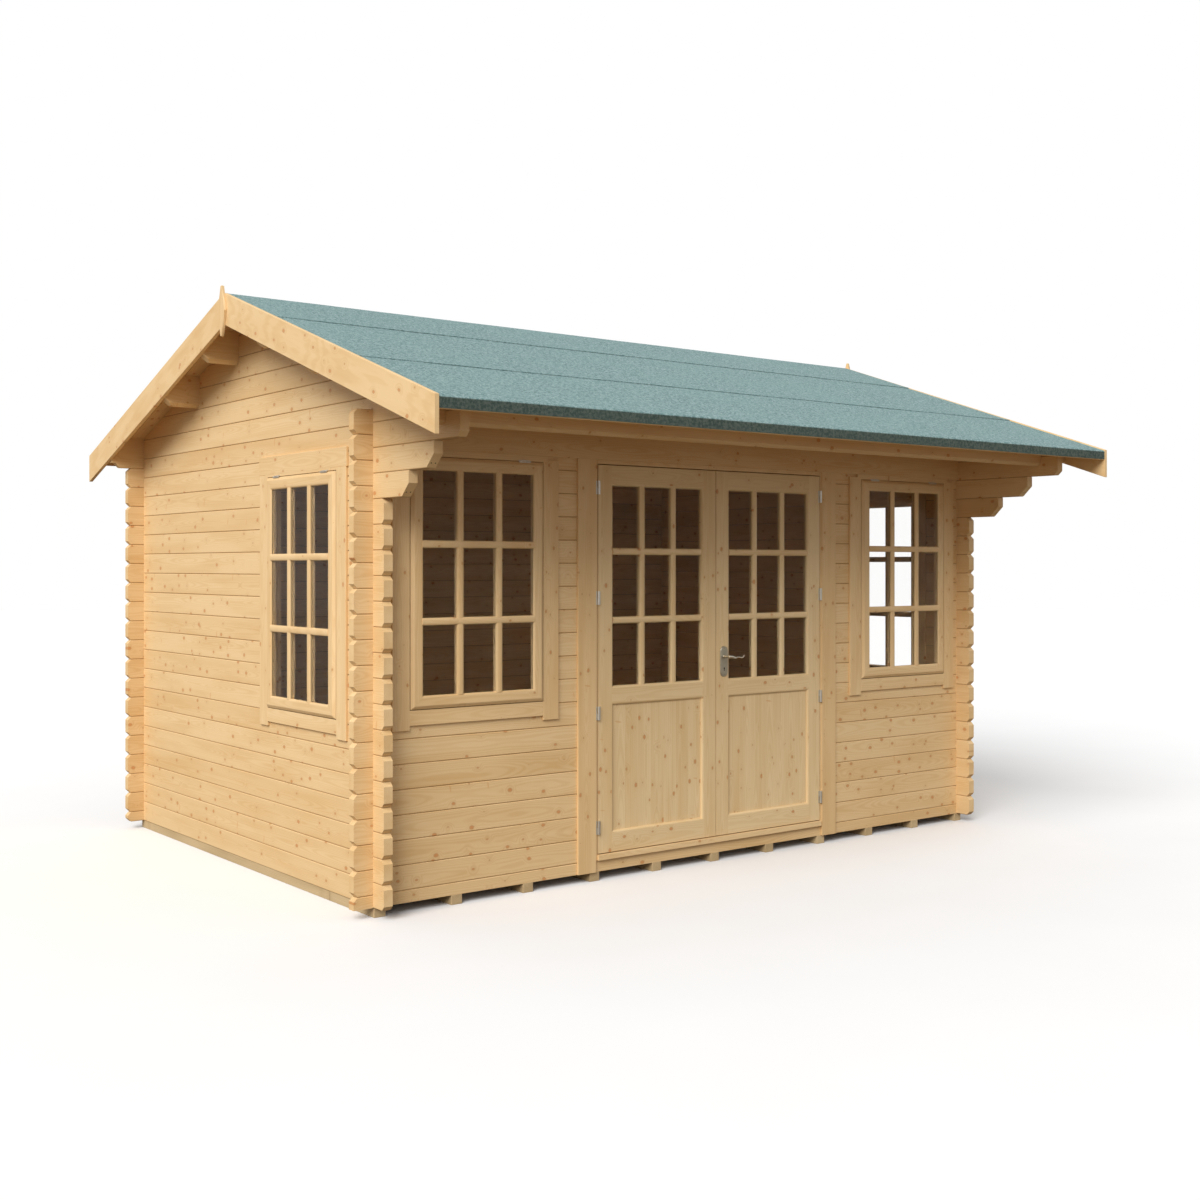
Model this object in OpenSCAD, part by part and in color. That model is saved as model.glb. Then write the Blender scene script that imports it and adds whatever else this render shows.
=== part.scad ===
// Log cabin: interlocking log walls, double glazed doors, four top-hung windows and a felted gable roof.
// Millimetres, +Z up, front towards -Y. The origin is under the ridge, on the ground.

/* [Walls] */
// Width across the outer faces of the side walls
wall_w = 4030; // [3300:10:4900]
// Depth across the outer faces of the front and back walls
wall_d = 2816; // [2300:2:3500]
// Height of one log course
log_h = 112; // [92:1:136]
// Thickness of a log
log_t = 44; // [34:1:56]
// Full courses in the back wall above its half log
back_courses = 18; // [17:1:20]
// How far the crossed log ends stand out past a corner
corner_out = 95; // [70:1:125]
// Chamfer on the corners of a log end
end_chamfer = 20; // [8:1:26]
// Depth of the V groove between two courses
groove = 4; // [2:0.5:6]
// Height of the bearers under the floor
bearer_h = 45; // [30:1:70]
// Width of a bearer
bearer_w = 58; // [40:1:80]
// Number of bearers
bearer_count = 11; // [7:1:13]
// Thickness of the floor boards
floor_t = 19; // [15:1:28]

/* [Roof] */
// Slope of the roof in degrees
roof_pitch = 18.9; // [15:0.1:23]
// Overhang of the roof in front of the front wall
front_over = 863; // [700:1:1060]
// Overhang of the roof behind the back wall
back_over = 293; // [240:1:370]
// Overhang of the roof past each side wall
side_over = 209; // [170:1:260]
// Height of the last log under the back eaves, at the wall's outer face
eaves_log_h = 159; // [130:1:190]
// Thickness of the roof boards
board_t = 19; // [15:1:24]
// Thickness of one layer of felt
felt_t = 3; // [2:0.5:5]
// Drop of the felt over the eaves
felt_drop = 50; // [40:1:60]
// Thickness of the barge boards
barge_t = 20; // [16:1:28]
// Upright depth of the barge boards
barge_h = 156; // [120:1:185]
// Height of the barge boards' top edge above the roof boards' underside
barge_rise = 29; // [25:1:45]
// Width of a purlin
purlin_w = 60; // [44:1:75]
// Height of a purlin on its ridge side
purlin_h = 170; // [135:1:200]
// Height of the ridge purlin
ridge_purlin_h = 130; // [105:1:155]
// Chamfer on the lower edges of a purlin
purlin_chamfer = 18; // [8:1:20]
// Height of a finial
finial_h = 250; // [200:1:300]
// Width of a finial
finial_w = 80; // [60:1:100]
// Thickness of a finial
finial_t = 15; // [12:1:24]

/* [Front canopy] */
// Step from one bracket log to the next
bracket_step = 203; // [165:1:245]
// Distance from the longest bracket log's end back to the eaves
bracket_set_back = 150; // [120:1:180]
// Length of the slanted cut under a bracket log
bracket_cut = 60; // [40:1:75]
// Distance from the longest bracket log's end to the eaves beam's front face
beam_set_back = 113; // [90:1:140]
// Chamfer on the lower edges of the eaves beam
beam_chamfer = 15; // [6:1:18]

/* [Door] */
// Width of the two door leaves with the gap between them
door_w = 1551; // [1290:1:1860]
// Thickness of a door leaf
leaf_t = 40; // [34:1:48]
// Running gap around and between the leaves
leaf_gap = 5; // [5:0.5:7]
// Width of the stiles
leaf_stile = 95; // [78:1:115]
// Height of the bottom rail
leaf_bottom_rail = 104; // [85:1:125]
// Height of the top rail
leaf_top_rail = 101; // [84:1:120]
// Height of the rail between the panel and the glass
leaf_mid_rail = 95; // [78:1:115]
// Height of the lower panel
leaf_panel_h = 619; // [515:1:745]
// Width of the casing beside the door
door_casing_w = 110; // [92:1:132]

/* [Windows] */
// Width of a window sash
sash_w = 722; // [600:1:866]
// Thickness of a sash
sash_t = 38; // [32:1:44]
// Width of the sash's stiles and rails
sash_stile = 61; // [50:1:74]
// Share of the plain wall beside a front window that lies between it and the side wall
front_window_share = 0.2724; // [0.1:0.0001:0.9]
// Distance from the front wall's outer face to the middle of a side window
side_window_y = 687; // [600:1:820]
// Width of the casing boards beside a window
window_casing_w = 90; // [75:1:105]
// Thickness of the casing boards
casing_t = 12; // [10:1:16]
// How far a sash stands out in front of the casing boards
sash_proud = 12; // [6:1:14]
// Depth of the glass behind the sash's front face
glass_in = 8; // [6:1:12]
// Thickness of a pane of glass
glass_t = 4; // [3:1:6]

/* [Door handle] */
// Width of the lock plate
plate_w = 53; // [44:1:60]
// Height of the lock plate
plate_h = 160; // [133:1:192]
// Length of the lever
lever_l = 100; // [83:1:120]
// Height of the lever's pivot above the leaf's bottom edge
lever_z = 936; // [860:1:1010]

/* [Hidden] */
$fn = 48;

pine = [0.86, 0.67, 0.42];
pale_pine = [0.93, 0.79, 0.56];
treated_timber = [0.45, 0.46, 0.34];
felt_green = [0.42, 0.55, 0.54];
clear_glass = [0.7, 0.78, 0.8, 0.5];
steel = [0.75, 0.76, 0.78];

// Clearance where a piece lies on a sloping face or sits in a slot
seat = 0.2;
// How far a cut runs past the face that it opens
eps = 1;

// The wall frame: its zero is the left wall's outer face, the front wall's outer face and the
// underside of the lowest logs. The modules below draw in it, and at_origin() moves them.
ridge_y = (wall_d + back_over - front_over) / 2;
roof_half = (wall_d + back_over + front_over) / 2;
slope = tan(roof_pitch);
stack_top = (back_courses + 0.5) * log_h;
wall_top = (back_courses + 1) * log_h;
ridge_under = stack_top + eaves_log_h + slope * (wall_d - ridge_y);
gable_courses = ceil((ridge_under - wall_top) / log_h);
board_rise = board_t / cos(roof_pitch);
felt_rise = board_rise + 2 * seat;
felt_layer = felt_t / cos(roof_pitch);
barge_in = side_over - barge_t;

// Openings keep to the courses: their heads lie in the log under the top courses.
head_notch = 60;
casing_lift = 15;
lining_t = 28;
sash_gap = 3;
sill_courses = 7.5;
front_head = (back_courses - 0.5) * log_h + head_notch;
front_sash_top = front_head - lining_t - sash_gap;
sash_h = (back_courses - 0.5 - sill_courses) * log_h + 12;
window_open_w = sash_w + 2 * (sash_gap + lining_t);
window_open_h = sash_h + 2 * (sash_gap + lining_t);
window_open_z = front_head - window_open_h;

// Door frame and leaves
jamb_t = 40;
leaf_face = -8;
threshold_t = 28;
door_head_strip = 20;
leaf_z = log_h / 2 + threshold_t + leaf_gap;
leaf_h = front_head - door_head_strip - leaf_gap - leaf_z;
leaf_w = (door_w - leaf_gap) / 2;
door_x = (wall_w - door_w) / 2;
door_open_x = door_x - leaf_gap - jamb_t;
door_open_w = wall_w - 2 * door_open_x;
casing_reveal = 16;
stop_w = 12;
stop_y = leaf_face + leaf_t + 5;
glass_z = leaf_bottom_rail + leaf_panel_h + leaf_mid_rail;
glass_h = leaf_h - glass_z - leaf_top_rail;

// A front window stands in the plain wall between the side wall and the door's casing.
window_outer_w = sash_w + 2 * (sash_gap + window_casing_w);
plain_wall = door_x - casing_reveal - door_casing_w - log_t - window_outer_w;
front_window_x = log_t + round(front_window_share * plain_wall) + window_outer_w / 2;

// Hinges and handle
knuckle_r = 6.5;
pin_r = 3;
pin_clear = 0.3;
hinge_h = 66;
hinge_plate_t = 2.5;
hinge_plate_w = 6;
hinge_y = leaf_face - 7;
hinge_step = 0.5;
hinge_heights = [95, 655, 1220, leaf_h - 145];
plate_t = 6;
plate_edge = 52;
spindle_r = 5;
lever_r = 8;
lever_y = 46;
head_board_h = 150;

function under(y) = ridge_under - slope * abs(y - ridge_y);
function course_joints(low, high, first) =
    [for (z = [first : log_h : high - 3 * groove]) if (z > low + 3 * groove) z];
function reversed(list) = [for (i = [len(list) - 1 : -1 : 0]) list[i]];

// Outline across a stack of logs: eased edges at both ends and a V groove at each joint
function stack_profile(low, top_out, top_in, joints) = concat(
    [[groove, low], [0, low + groove]],
    [for (z = joints) each [[0, z - groove], [groove, z], [0, z + groove]]],
    [[0, top_out], [log_t, top_in]],
    [for (z = reversed(joints)) each [[log_t, z + groove], [log_t - groove, z], [log_t, z - groove]]],
    [[log_t, low + groove], [log_t - groove, low]]);

// The same outline with eased edges at the top too
function log_stack(low, high, joints) = concat(
    [[groove, low], [0, low + groove]],
    [for (z = joints) each [[0, z - groove], [groove, z], [0, z + groove]]],
    [[0, high - groove], [groove, high], [log_t - groove, high], [log_t, high - groove]],
    [for (z = reversed(joints)) each [[log_t, z + groove], [log_t - groove, z], [log_t, z - groove]]],
    [[log_t, low + groove], [log_t - groove, low]]);

// Right-hand edge of a stack seen from the side, each log end chamfered top and bottom
function end_edge(at, out, low, high, joints) = concat(
    [[at - out * end_chamfer, low], [at, low + end_chamfer]],
    [for (z = joints) each [[at, z - end_chamfer], [at - out * end_chamfer, z], [at, z + end_chamfer]]],
    [[at, high - end_chamfer], [at - out * end_chamfer, high]]);

module at_origin() {
    translate([-wall_w / 2, -ridge_y, bearer_h]) children();
}

// Extrudes a (y, z) outline along X
module along_x(from, to) {
    translate([from, 0, 0]) rotate([90, 0, 90]) linear_extrude(to - from) children();
}

// Extrudes an (x, z) outline along Y
module along_y(from, to) {
    translate([0, to, 0]) rotate([90, 0, 0]) linear_extrude(to - from) children();
}

// The necks of the crosswise logs, taken out of the logs that they pass
module necks(x, y, first, last, wide, deep) {
    for (k = [first : last])
        translate([x, y, max(0, (k - 0.25) * log_h) - (k == 0 ? eps : 0)])
            cube([wide, deep, (k == 0 ? 0.25 * log_h + eps : 0.5 * log_h)]);
}

// Side-log necks inside a front, back or beam log, at both ends of it. The last runs up to the roof.
module side_necks(y, first, last) {
    for (x = [0, wall_w - log_t])
        for (k = [first : last])
            translate([x, y - eps, (k + 0.25) * log_h])
                cube([log_t, log_t + 2 * eps, (k > back_courses ? 1.5 : 0.5) * log_h]);
}

module window_hole_front(x) {
    translate([x - window_open_w / 2, -eps, window_open_z])
        cube([window_open_w, log_t + 2 * eps, window_open_h]);
}

// ---- Floor ----

module floor_bearers() {
    edge = 5;
    step = (wall_w - bearer_w - 2 * edge) / (bearer_count - 1);
    color(treated_timber)
        at_origin()
            for (i = [0 : bearer_count - 1])
                translate([edge + i * step, 0, -bearer_h]) cube([bearer_w, wall_d, bearer_h]);
}

module floor_boards() {
    color(pine)
        at_origin()
            translate([log_t, log_t, 0]) cube([wall_w - 2 * log_t, wall_d - 2 * log_t, floor_t]);
}

// ---- Front wall ----

module front_sill_log() {
    top = log_h / 2;
    color(pine)
        at_origin()
            difference() {
                intersection() {
                    along_x(-corner_out, wall_w + corner_out)
                        polygon([[0, 0], [0, top - groove], [groove, top], [log_t - groove, top],
                            [log_t, top - groove], [log_t, 0]]);
                    along_y(0, log_t)
                        polygon([[-corner_out, 0], [-corner_out, top - end_chamfer],
                            [end_chamfer - corner_out, top],
                            [wall_w + corner_out - end_chamfer, top],
                            [wall_w + corner_out, top - end_chamfer], [wall_w + corner_out, 0]]);
                }
                side_necks(0, 0, 0);
            }
}

// Front wall beside the doorway, drawn for the left-hand side
module front_wall_side() {
    low = log_h / 2;
    high = (back_courses - 0.5) * log_h;
    joints = course_joints(low, high, low + log_h);
    difference() {
        intersection() {
            along_x(-corner_out, door_open_x) polygon(log_stack(low, high, joints));
            along_y(0, log_t)
                polygon(concat([[door_open_x, high], [door_open_x, low]],
                    end_edge(-corner_out, -1, low, high, joints)));
        }
        side_necks(0, 0, back_courses);
        window_hole_front(front_window_x);
    }
}

module mirror_wall() {
    translate([wall_w, 0, 0]) mirror([1, 0, 0]) children();
}

module front_wall_left() {
    color(pine) at_origin() front_wall_side();
}

module front_wall_right() {
    color(pine) at_origin() mirror_wall() front_wall_side();
}

// Courses over the doorway: two cross the side walls, and the rest stand between them
module front_wall_top() {
    low = (back_courses - 0.5) * log_h;
    crossed = (back_courses + 1.5) * log_h;
    high = under(log_t);
    joints = course_joints(low, under(0), low + log_h);
    end_joints = [low + log_h];
    color(pine)
        at_origin()
            difference() {
                intersection() {
                    along_x(-corner_out, wall_w + corner_out)
                        polygon(stack_profile(low, under(0), under(log_t), joints));
                    along_y(0, log_t)
                        polygon(concat(
                            end_edge(-corner_out, -1, low, crossed, end_joints),
                            [[log_t, crossed], [log_t, high], [wall_w - log_t, high],
                                [wall_w - log_t, crossed]],
                            reversed(end_edge(wall_w + corner_out, 1, low, crossed, end_joints))));
                }
                side_necks(0, back_courses - 1, back_courses + 1);
                window_hole_front(front_window_x);
                window_hole_front(wall_w - front_window_x);
                translate([door_open_x, -eps, 0])
                    cube([door_open_w, log_t + 2 * eps, front_head + jamb_t - door_head_strip]);
            }
}

module front_head_board() {
    color(pine)
        at_origin()
            translate([log_t, -casing_t, front_head])
                cube([wall_w - 2 * log_t, casing_t, head_board_h]);
}

// ---- Side walls ----

function bracket_end(i) = front_over - bracket_set_back - (2 - i) * bracket_step;

// Left wall: log ends at the back, log ends and three stepped bracket logs at the front
module side_wall() {
    joints = course_joints(0, wall_top, log_h);
    first_bracket = back_courses - 2;
    front_joints = [for (k = [1 : first_bracket - 1]) k * log_h];
    brackets = [for (i = [0 : 2]) let (
        z = (first_bracket + i) * log_h,
        y = -bracket_end(i),
        cut = (i < 2 ? bracket_cut : 25)) each [[y + cut, z], [y, z + cut * 0.95], [y, z + log_h]]];
    difference() {
        intersection() {
            along_y(-front_over, wall_d + corner_out) polygon(log_stack(0, wall_top, joints));
            along_x(0, log_t)
                polygon(concat(
                    end_edge(-corner_out, -1, 0, first_bracket * log_h, front_joints),
                    brackets,
                    reversed(end_edge(wall_d + corner_out, 1, 0, wall_top, joints))));
        }
        for (y = [0, wall_d - log_t])
            necks(-eps, y, 0, back_courses + 1, log_t + 2 * eps, log_t);
        beam_neck();
        translate([-eps, side_window_y - window_open_w / 2, window_open_z - log_h / 2])
            cube([log_t + 2 * eps, window_open_w, window_open_h]);
    }
}

beam_y = -(front_over - bracket_set_back - beam_set_back);

// Room for the neck of the eaves beam
module beam_neck() {
    translate([-eps, beam_y, (back_courses + 0.75) * log_h])
        cube([log_t + 2 * eps, log_t, 0.5 * log_h]);
}

module left_wall() {
    color(pale_pine) at_origin() side_wall();
}

module right_wall() {
    color(pale_pine) at_origin() mirror_wall() side_wall();
}

// Gable courses up to the roof, with a slot for each purlin
module gable() {
    low = wall_top;
    high = low + gable_courses * log_h;
    joints = course_joints(low, ridge_under - log_h / 4, low + log_h);
    reach = bracket_end(2);
    difference() {
        intersection() {
            along_y(-front_over, wall_d + corner_out)
                polygon(stack_profile(low, high, high, joints));
            along_x(0, log_t)
                polygon([[-reach, low], [wall_d + corner_out - end_chamfer, low],
                    [wall_d + corner_out, low + end_chamfer],
                    [wall_d + corner_out, under(wall_d + corner_out)],
                    [ridge_y, ridge_under], [-reach, under(-reach)]]);
        }
        for (y = [0, wall_d - log_t])
            necks(-eps, y, back_courses + 1, back_courses + 1, log_t + 2 * eps, log_t);
        beam_neck();
        for (side = [-1, 1])
            for (share = purlin_shares)
                along_x(-eps, log_t + eps) purlin_outline(ridge_y + side * share * roof_half, seat);
        along_x(-eps, log_t + eps) ridge_purlin_outline(seat);
    }
}

module left_gable() {
    color(pale_pine) at_origin() gable();
}

module right_gable() {
    color(pale_pine) at_origin() mirror_wall() gable();
}

// ---- Back wall ----

module back_wall() {
    joints = course_joints(0, stack_top, log_h / 2);
    color(pine)
        at_origin()
            difference() {
                intersection() {
                    along_x(-corner_out, wall_w + corner_out)
                        translate([wall_d - log_t, 0]) polygon(log_stack(0, stack_top, joints));
                    along_y(wall_d - log_t, wall_d)
                        polygon(concat(
                            end_edge(-corner_out, -1, 0, stack_top, joints),
                            reversed(end_edge(wall_w + corner_out, 1, 0, stack_top, joints))));
                }
                side_necks(wall_d - log_t, 0, back_courses);
            }
}

// Outline, from the front, of a log that runs out to the barge boards and is cut up under its ends
module long_log_outline(low, high, rise) {
    cut = barge_in - 20;
    polygon([[-barge_in, high], [-barge_in, low + rise], [-cut, low + rise], [rise - cut, low],
        [wall_w + cut - rise, low], [wall_w + cut, low + rise], [wall_w + barge_in, low + rise],
        [wall_w + barge_in, high]]);
}

module back_eaves_log() {
    y = wall_d - log_t;
    color(pine)
        at_origin()
            difference() {
                intersection() {
                    along_x(-side_over, wall_w + side_over)
                        polygon([[y + groove, stack_top], [y, stack_top + groove], [y, under(y)],
                            [wall_d, under(wall_d)], [wall_d, stack_top + groove],
                            [wall_d - groove, stack_top]]);
                    along_y(y, wall_d) long_log_outline(stack_top, under(y), 28);
                }
                side_necks(y, back_courses, back_courses + 1);
            }
}

module front_eaves_beam() {
    color(pine)
        at_origin()
            difference() {
                intersection() {
                    along_x(-side_over, wall_w + side_over)
                        polygon([[beam_y + beam_chamfer, stack_top], [beam_y, stack_top + beam_chamfer],
                            [beam_y, under(beam_y)], [beam_y + log_t, under(beam_y + log_t)],
                            [beam_y + log_t, stack_top + beam_chamfer],
                            [beam_y + log_t - beam_chamfer, stack_top]]);
                    along_y(beam_y, beam_y + log_t)
                        long_log_outline(stack_top, under(beam_y + log_t), 28);
                }
                side_necks(beam_y, back_courses, back_courses + 1);
            }
}

// ---- Roof ----

purlin_shares = [0.167, 0.428];
purlin_end_cut = 40;

// Section of a purlin that stands at y, its top cut to the slope. Its slot is larger by spare.
module purlin_outline(y, spare = 0) {
    a = y - purlin_w / 2 - spare;
    b = y + purlin_w / 2 + spare;
    low = max(under(a), under(b)) - purlin_h - 2 * spare;
    polygon([[a, under(a) + spare], [a, low + purlin_chamfer], [a + purlin_chamfer, low],
        [b - purlin_chamfer, low], [b, low + purlin_chamfer], [b, under(b) + spare]]);
}

module ridge_purlin_outline(spare = 0) {
    a = ridge_y - purlin_w / 2 - spare;
    b = ridge_y + purlin_w / 2 + spare;
    low = ridge_under - ridge_purlin_h - spare;
    polygon([[a, under(a) + spare], [a, low + purlin_chamfer], [a + purlin_chamfer, low],
        [b - purlin_chamfer, low], [b, low + purlin_chamfer], [b, under(b) + spare],
        [ridge_y, ridge_under + spare]]);
}

// Slanted cut under both ends of a purlin whose underside is at low
module purlin_end_cuts(y, low) {
    for (side = [0, 1])
        translate([side * wall_w, 0, 0])
            mirror([side, 0, 0])
                along_y(y - purlin_w, y + purlin_w)
                    polygon([[-barge_in - eps, low - eps], [-barge_in - eps, low + purlin_end_cut + eps],
                        [-barge_in + purlin_end_cut + eps, low - eps]]);
}

module purlin(side, share) {
    y = ridge_y + side * share * roof_half;
    low = under(y - side * purlin_w / 2) - purlin_h;
    color(pine)
        at_origin()
            difference() {
                along_x(-barge_in, wall_w + barge_in) purlin_outline(y);
                purlin_end_cuts(y, low);
            }
}

module ridge_purlin() {
    color(pine)
        at_origin()
            difference() {
                along_x(-barge_in, wall_w + barge_in) ridge_purlin_outline();
                purlin_end_cuts(ridge_y, ridge_under - ridge_purlin_h);
            }
}

module front_upper_purlin() {
    purlin(-1, purlin_shares[0]);
}

module front_lower_purlin() {
    purlin(-1, purlin_shares[1]);
}

module back_upper_purlin() {
    purlin(1, purlin_shares[0]);
}

module back_lower_purlin() {
    purlin(1, purlin_shares[1]);
}

eaves_board_t = 16;
eaves_board_h = 55;
boards_end = roof_half - eaves_board_t - felt_t - 2;

// Draws for the front slope with y measured from the ridge towards the eaves
module slope_side(side) {
    at_origin()
        translate([0, ridge_y, 0])
            mirror([0, side < 0 ? 1 : 0, 0])
                along_x(-barge_in, wall_w + barge_in) children();
}

// A layer of the roof between two distances from the ridge and two heights over the underside
module layer(from, to, low, high) {
    polygon([[from, ridge_under - slope * from + low], [to, ridge_under - slope * to + low],
        [to, ridge_under - slope * to + high], [from, ridge_under - slope * from + high]]);
}

module roof_boards(side) {
    color(pale_pine) slope_side(side) layer(0, boards_end, seat, seat + board_rise);
}

module eaves_board(side) {
    top = ridge_under - slope * boards_end + board_rise;
    color(pine)
        slope_side(side)
            polygon([[boards_end, top - eaves_board_h], [boards_end + eaves_board_t, top - eaves_board_h],
                [boards_end + eaves_board_t, top - slope * eaves_board_t], [boards_end, top]]);
}

ridge_felt_reach = 556;
upper_felt_reach = 1337;

// Felt on one slope: a lower strip that turns down over the eaves, lapped by an upper strip
module roof_felt(side) {
    eaves = boards_end + eaves_board_t;
    base = ridge_under + felt_rise;
    top = base + felt_layer;
    color(felt_green)
        slope_side(side)
            polygon([[0, base], [eaves, base - slope * eaves],
                [eaves, top - slope * eaves - felt_drop], [eaves + felt_t, top - slope * eaves - felt_drop],
                [eaves + felt_t, top - slope * (eaves + felt_t)],
                [upper_felt_reach, top - slope * upper_felt_reach],
                [upper_felt_reach, top + felt_layer - slope * upper_felt_reach],
                [0, top + felt_layer]]);
}

module ridge_felt() {
    low = felt_rise + 2 * felt_layer + seat;
    color(felt_green)
        at_origin()
            translate([0, ridge_y, 0])
                along_x(-barge_in, wall_w + barge_in)
                    polygon([
                        [-ridge_felt_reach, ridge_under + low - slope * ridge_felt_reach],
                        [0, ridge_under + low],
                        [ridge_felt_reach, ridge_under + low - slope * ridge_felt_reach],
                        [ridge_felt_reach, ridge_under + low + felt_layer - slope * ridge_felt_reach],
                        [0, ridge_under + low + felt_layer],
                        [-ridge_felt_reach, ridge_under + low + felt_layer - slope * ridge_felt_reach]]);
}

module front_roof_boards() {
    roof_boards(-1);
}

module back_roof_boards() {
    roof_boards(1);
}

module front_eaves_board() {
    eaves_board(-1);
}

module back_eaves_board() {
    eaves_board(1);
}

module front_roof_felt() {
    roof_felt(-1);
}

module back_roof_felt() {
    roof_felt(1);
}

barge_joint = 0.5;

// The two barge boards of one gable, upright cuts at the ridge and the eaves
module barge_boards() {
    for (side = [0, 1])
        translate([0, ridge_y, 0])
            mirror([0, side, 0])
                along_x(-side_over, -barge_in)
                    layer(barge_joint, roof_half, barge_rise - barge_h, barge_rise);
}

module left_barge_boards() {
    color(pale_pine) at_origin() barge_boards();
}

module right_barge_boards() {
    color(pale_pine) at_origin() mirror_wall() barge_boards();
}

// Flat lozenge over the joint of two barge boards
module finial() {
    blunt = 5;
    top = ridge_under + barge_rise + 34;
    along_x(-side_over - finial_t, -side_over)
        translate([ridge_y, top - finial_h / 2])
            polygon([[-blunt, finial_h / 2], [-finial_w / 2, 0], [-blunt, -finial_h / 2],
                [blunt, -finial_h / 2], [finial_w / 2, 0], [blunt, finial_h / 2]]);
}

module left_finial() {
    color(pale_pine) at_origin() finial();
}

module right_finial() {
    color(pale_pine) at_origin() mirror_wall() finial();
}

// ---- Door frame ----

// Post that wraps the cut log ends, with a casing on both faces and a stop for the leaf
module door_post() {
    edge = door_x - leaf_gap;
    casing_x = door_x - casing_reveal - door_casing_w;
    low = log_h / 2;
    translate([edge - jamb_t, leaf_face, low])
        cube([jamb_t, log_t + casing_t - leaf_face, front_head - low]);
    translate([casing_x, -casing_t, 0])
        cube([door_casing_w, casing_t, front_head]);
    translate([casing_x, log_t, floor_t])
        cube([door_casing_w, casing_t, front_head - floor_t]);
    translate([edge - eps, stop_y, low])
        cube([stop_w + eps, log_t + casing_t - stop_y, front_head - low]);
}

module left_door_post() {
    color(pine) at_origin() door_post();
}

module right_door_post() {
    color(pine) at_origin() mirror_wall() door_post();
}

module door_head() {
    edge = door_x - leaf_gap;
    low = front_head - door_head_strip;
    color(pine)
        at_origin() {
            difference() {
                union() {
                    translate([edge, leaf_face, low])
                        cube([door_w + 2 * leaf_gap, log_t + casing_t - leaf_face, door_head_strip]);
                    translate([edge + stop_w, stop_y, low - stop_w])
                        cube([door_w + 2 * leaf_gap - 2 * stop_w, log_t + casing_t - stop_y, stop_w + eps]);
                    translate([door_open_x, 0, front_head])
                        cube([door_open_w, log_t, jamb_t - door_head_strip]);
                }
                translate([edge - eps, stop_y, low - eps])
                    cube([stop_w + eps, log_t + casing_t - stop_y + eps, door_head_strip + eps]);
                translate([wall_w - edge - stop_w, stop_y, low - eps])
                    cube([stop_w + eps, log_t + casing_t - stop_y + eps, door_head_strip + eps]);
            }
        }
}

module door_threshold() {
    edge = door_x - leaf_gap;
    nose = 18;
    color(pine)
        at_origin()
            difference() {
                translate([edge, -nose, log_h / 2])
                    cube([door_w + 2 * leaf_gap, log_t + nose + casing_t, threshold_t]);
                for (x = [edge - eps, wall_w - edge - stop_w])
                    translate([x, stop_y, 0])
                        cube([stop_w + eps, log_t + casing_t, log_h]);
            }
}

// ---- Door leaves ----

// Left leaf: stiles and rails around a glazed opening, with a sunk panel below
module door_leaf() {
    inner_w = leaf_w - 2 * leaf_stile;
    panel_sink = 12;
    translate([door_x, leaf_face, leaf_z])
        difference() {
            cube([leaf_w, leaf_t, leaf_h]);
            translate([leaf_stile, -eps, glass_z]) cube([inner_w, leaf_t + 2 * eps, glass_h]);
            translate([leaf_stile, -eps, leaf_bottom_rail]) cube([inner_w, panel_sink + eps, leaf_panel_h]);
            translate([leaf_stile, leaf_t - panel_sink, leaf_bottom_rail])
                cube([inner_w, panel_sink + eps, leaf_panel_h]);
        }
}

module door_glass() {
    translate([door_x + leaf_stile, leaf_face + leaf_t / 2 - glass_t / 2, leaf_z + glass_z])
        cube([leaf_w - 2 * leaf_stile, glass_t, glass_h]);
}

module left_door() {
    color(pine) at_origin() door_leaf();
}

module left_door_glass() {
    color(clear_glass) at_origin() door_glass();
}

module right_door() {
    color(pine)
        at_origin()
            difference() {
                mirror_wall() door_leaf();
                translate([handle_x, 0, handle_z])
                    rotate([90, 0, 0]) cylinder(r = spindle_r + 1, h = 4 * leaf_t, center = true);
            }
}

module right_door_glass() {
    color(clear_glass) at_origin() mirror_wall() door_glass();
}

// Half of a hinge about its pin at the origin, the plate on the +X side
module hinge_half(from, to) {
    plate_x = knuckle_r + 1;
    translate([0, 0, from]) cylinder(r = knuckle_r, h = to - from);
    translate([plate_x, hinge_y_to_face() - hinge_plate_t, 0])
        cube([hinge_plate_w, hinge_plate_t, hinge_h]);
    translate([0, hinge_y_to_face() - hinge_plate_t, from])
        cube([plate_x + eps, hinge_plate_t, to - from]);
}

function hinge_y_to_face() = leaf_face - hinge_y;

module leaf_hinges() {
    for (z = hinge_heights)
        translate([door_x - leaf_gap / 2, hinge_y, leaf_z + z])
            difference() {
                hinge_half(hinge_h / 2 + hinge_step, hinge_h);
                cylinder(r = pin_r + pin_clear, h = 3 * hinge_h, center = true);
            }
}

module post_hinges() {
    for (z = hinge_heights)
        translate([door_x - leaf_gap / 2, hinge_y, leaf_z + z]) {
            mirror([1, 0, 0]) hinge_half(0, hinge_h / 2 - hinge_step);
            cylinder(r = pin_r, h = hinge_h);
        }
}

module left_door_hinges() {
    color(steel) at_origin() leaf_hinges();
}

module right_door_hinges() {
    color(steel) at_origin() mirror_wall() leaf_hinges();
}

module frame_hinges() {
    color(steel)
        at_origin() {
            post_hinges();
            mirror_wall() post_hinges();
        }
}

// ---- Lock plates and handle, on the right leaf ----

handle_x = wall_w / 2 + leaf_gap / 2 + plate_edge;
handle_z = leaf_z + lever_z;

module lock_plate() {
    end_r = plate_w / 2;
    below = plate_h * 2 / 3;
    translate([0, 0, -below])
        along_y(0, plate_t)
            difference() {
                union() {
                    translate([-end_r, end_r]) square([plate_w, plate_h - plate_w]);
                    for (z = [end_r, plate_h - end_r]) translate([0, z]) circle(end_r);
                }
                translate([0, below]) circle(spindle_r + 1);
                translate([0, 44]) circle(5);
                translate([-2, 30]) square([4, 12]);
            }
}

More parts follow.
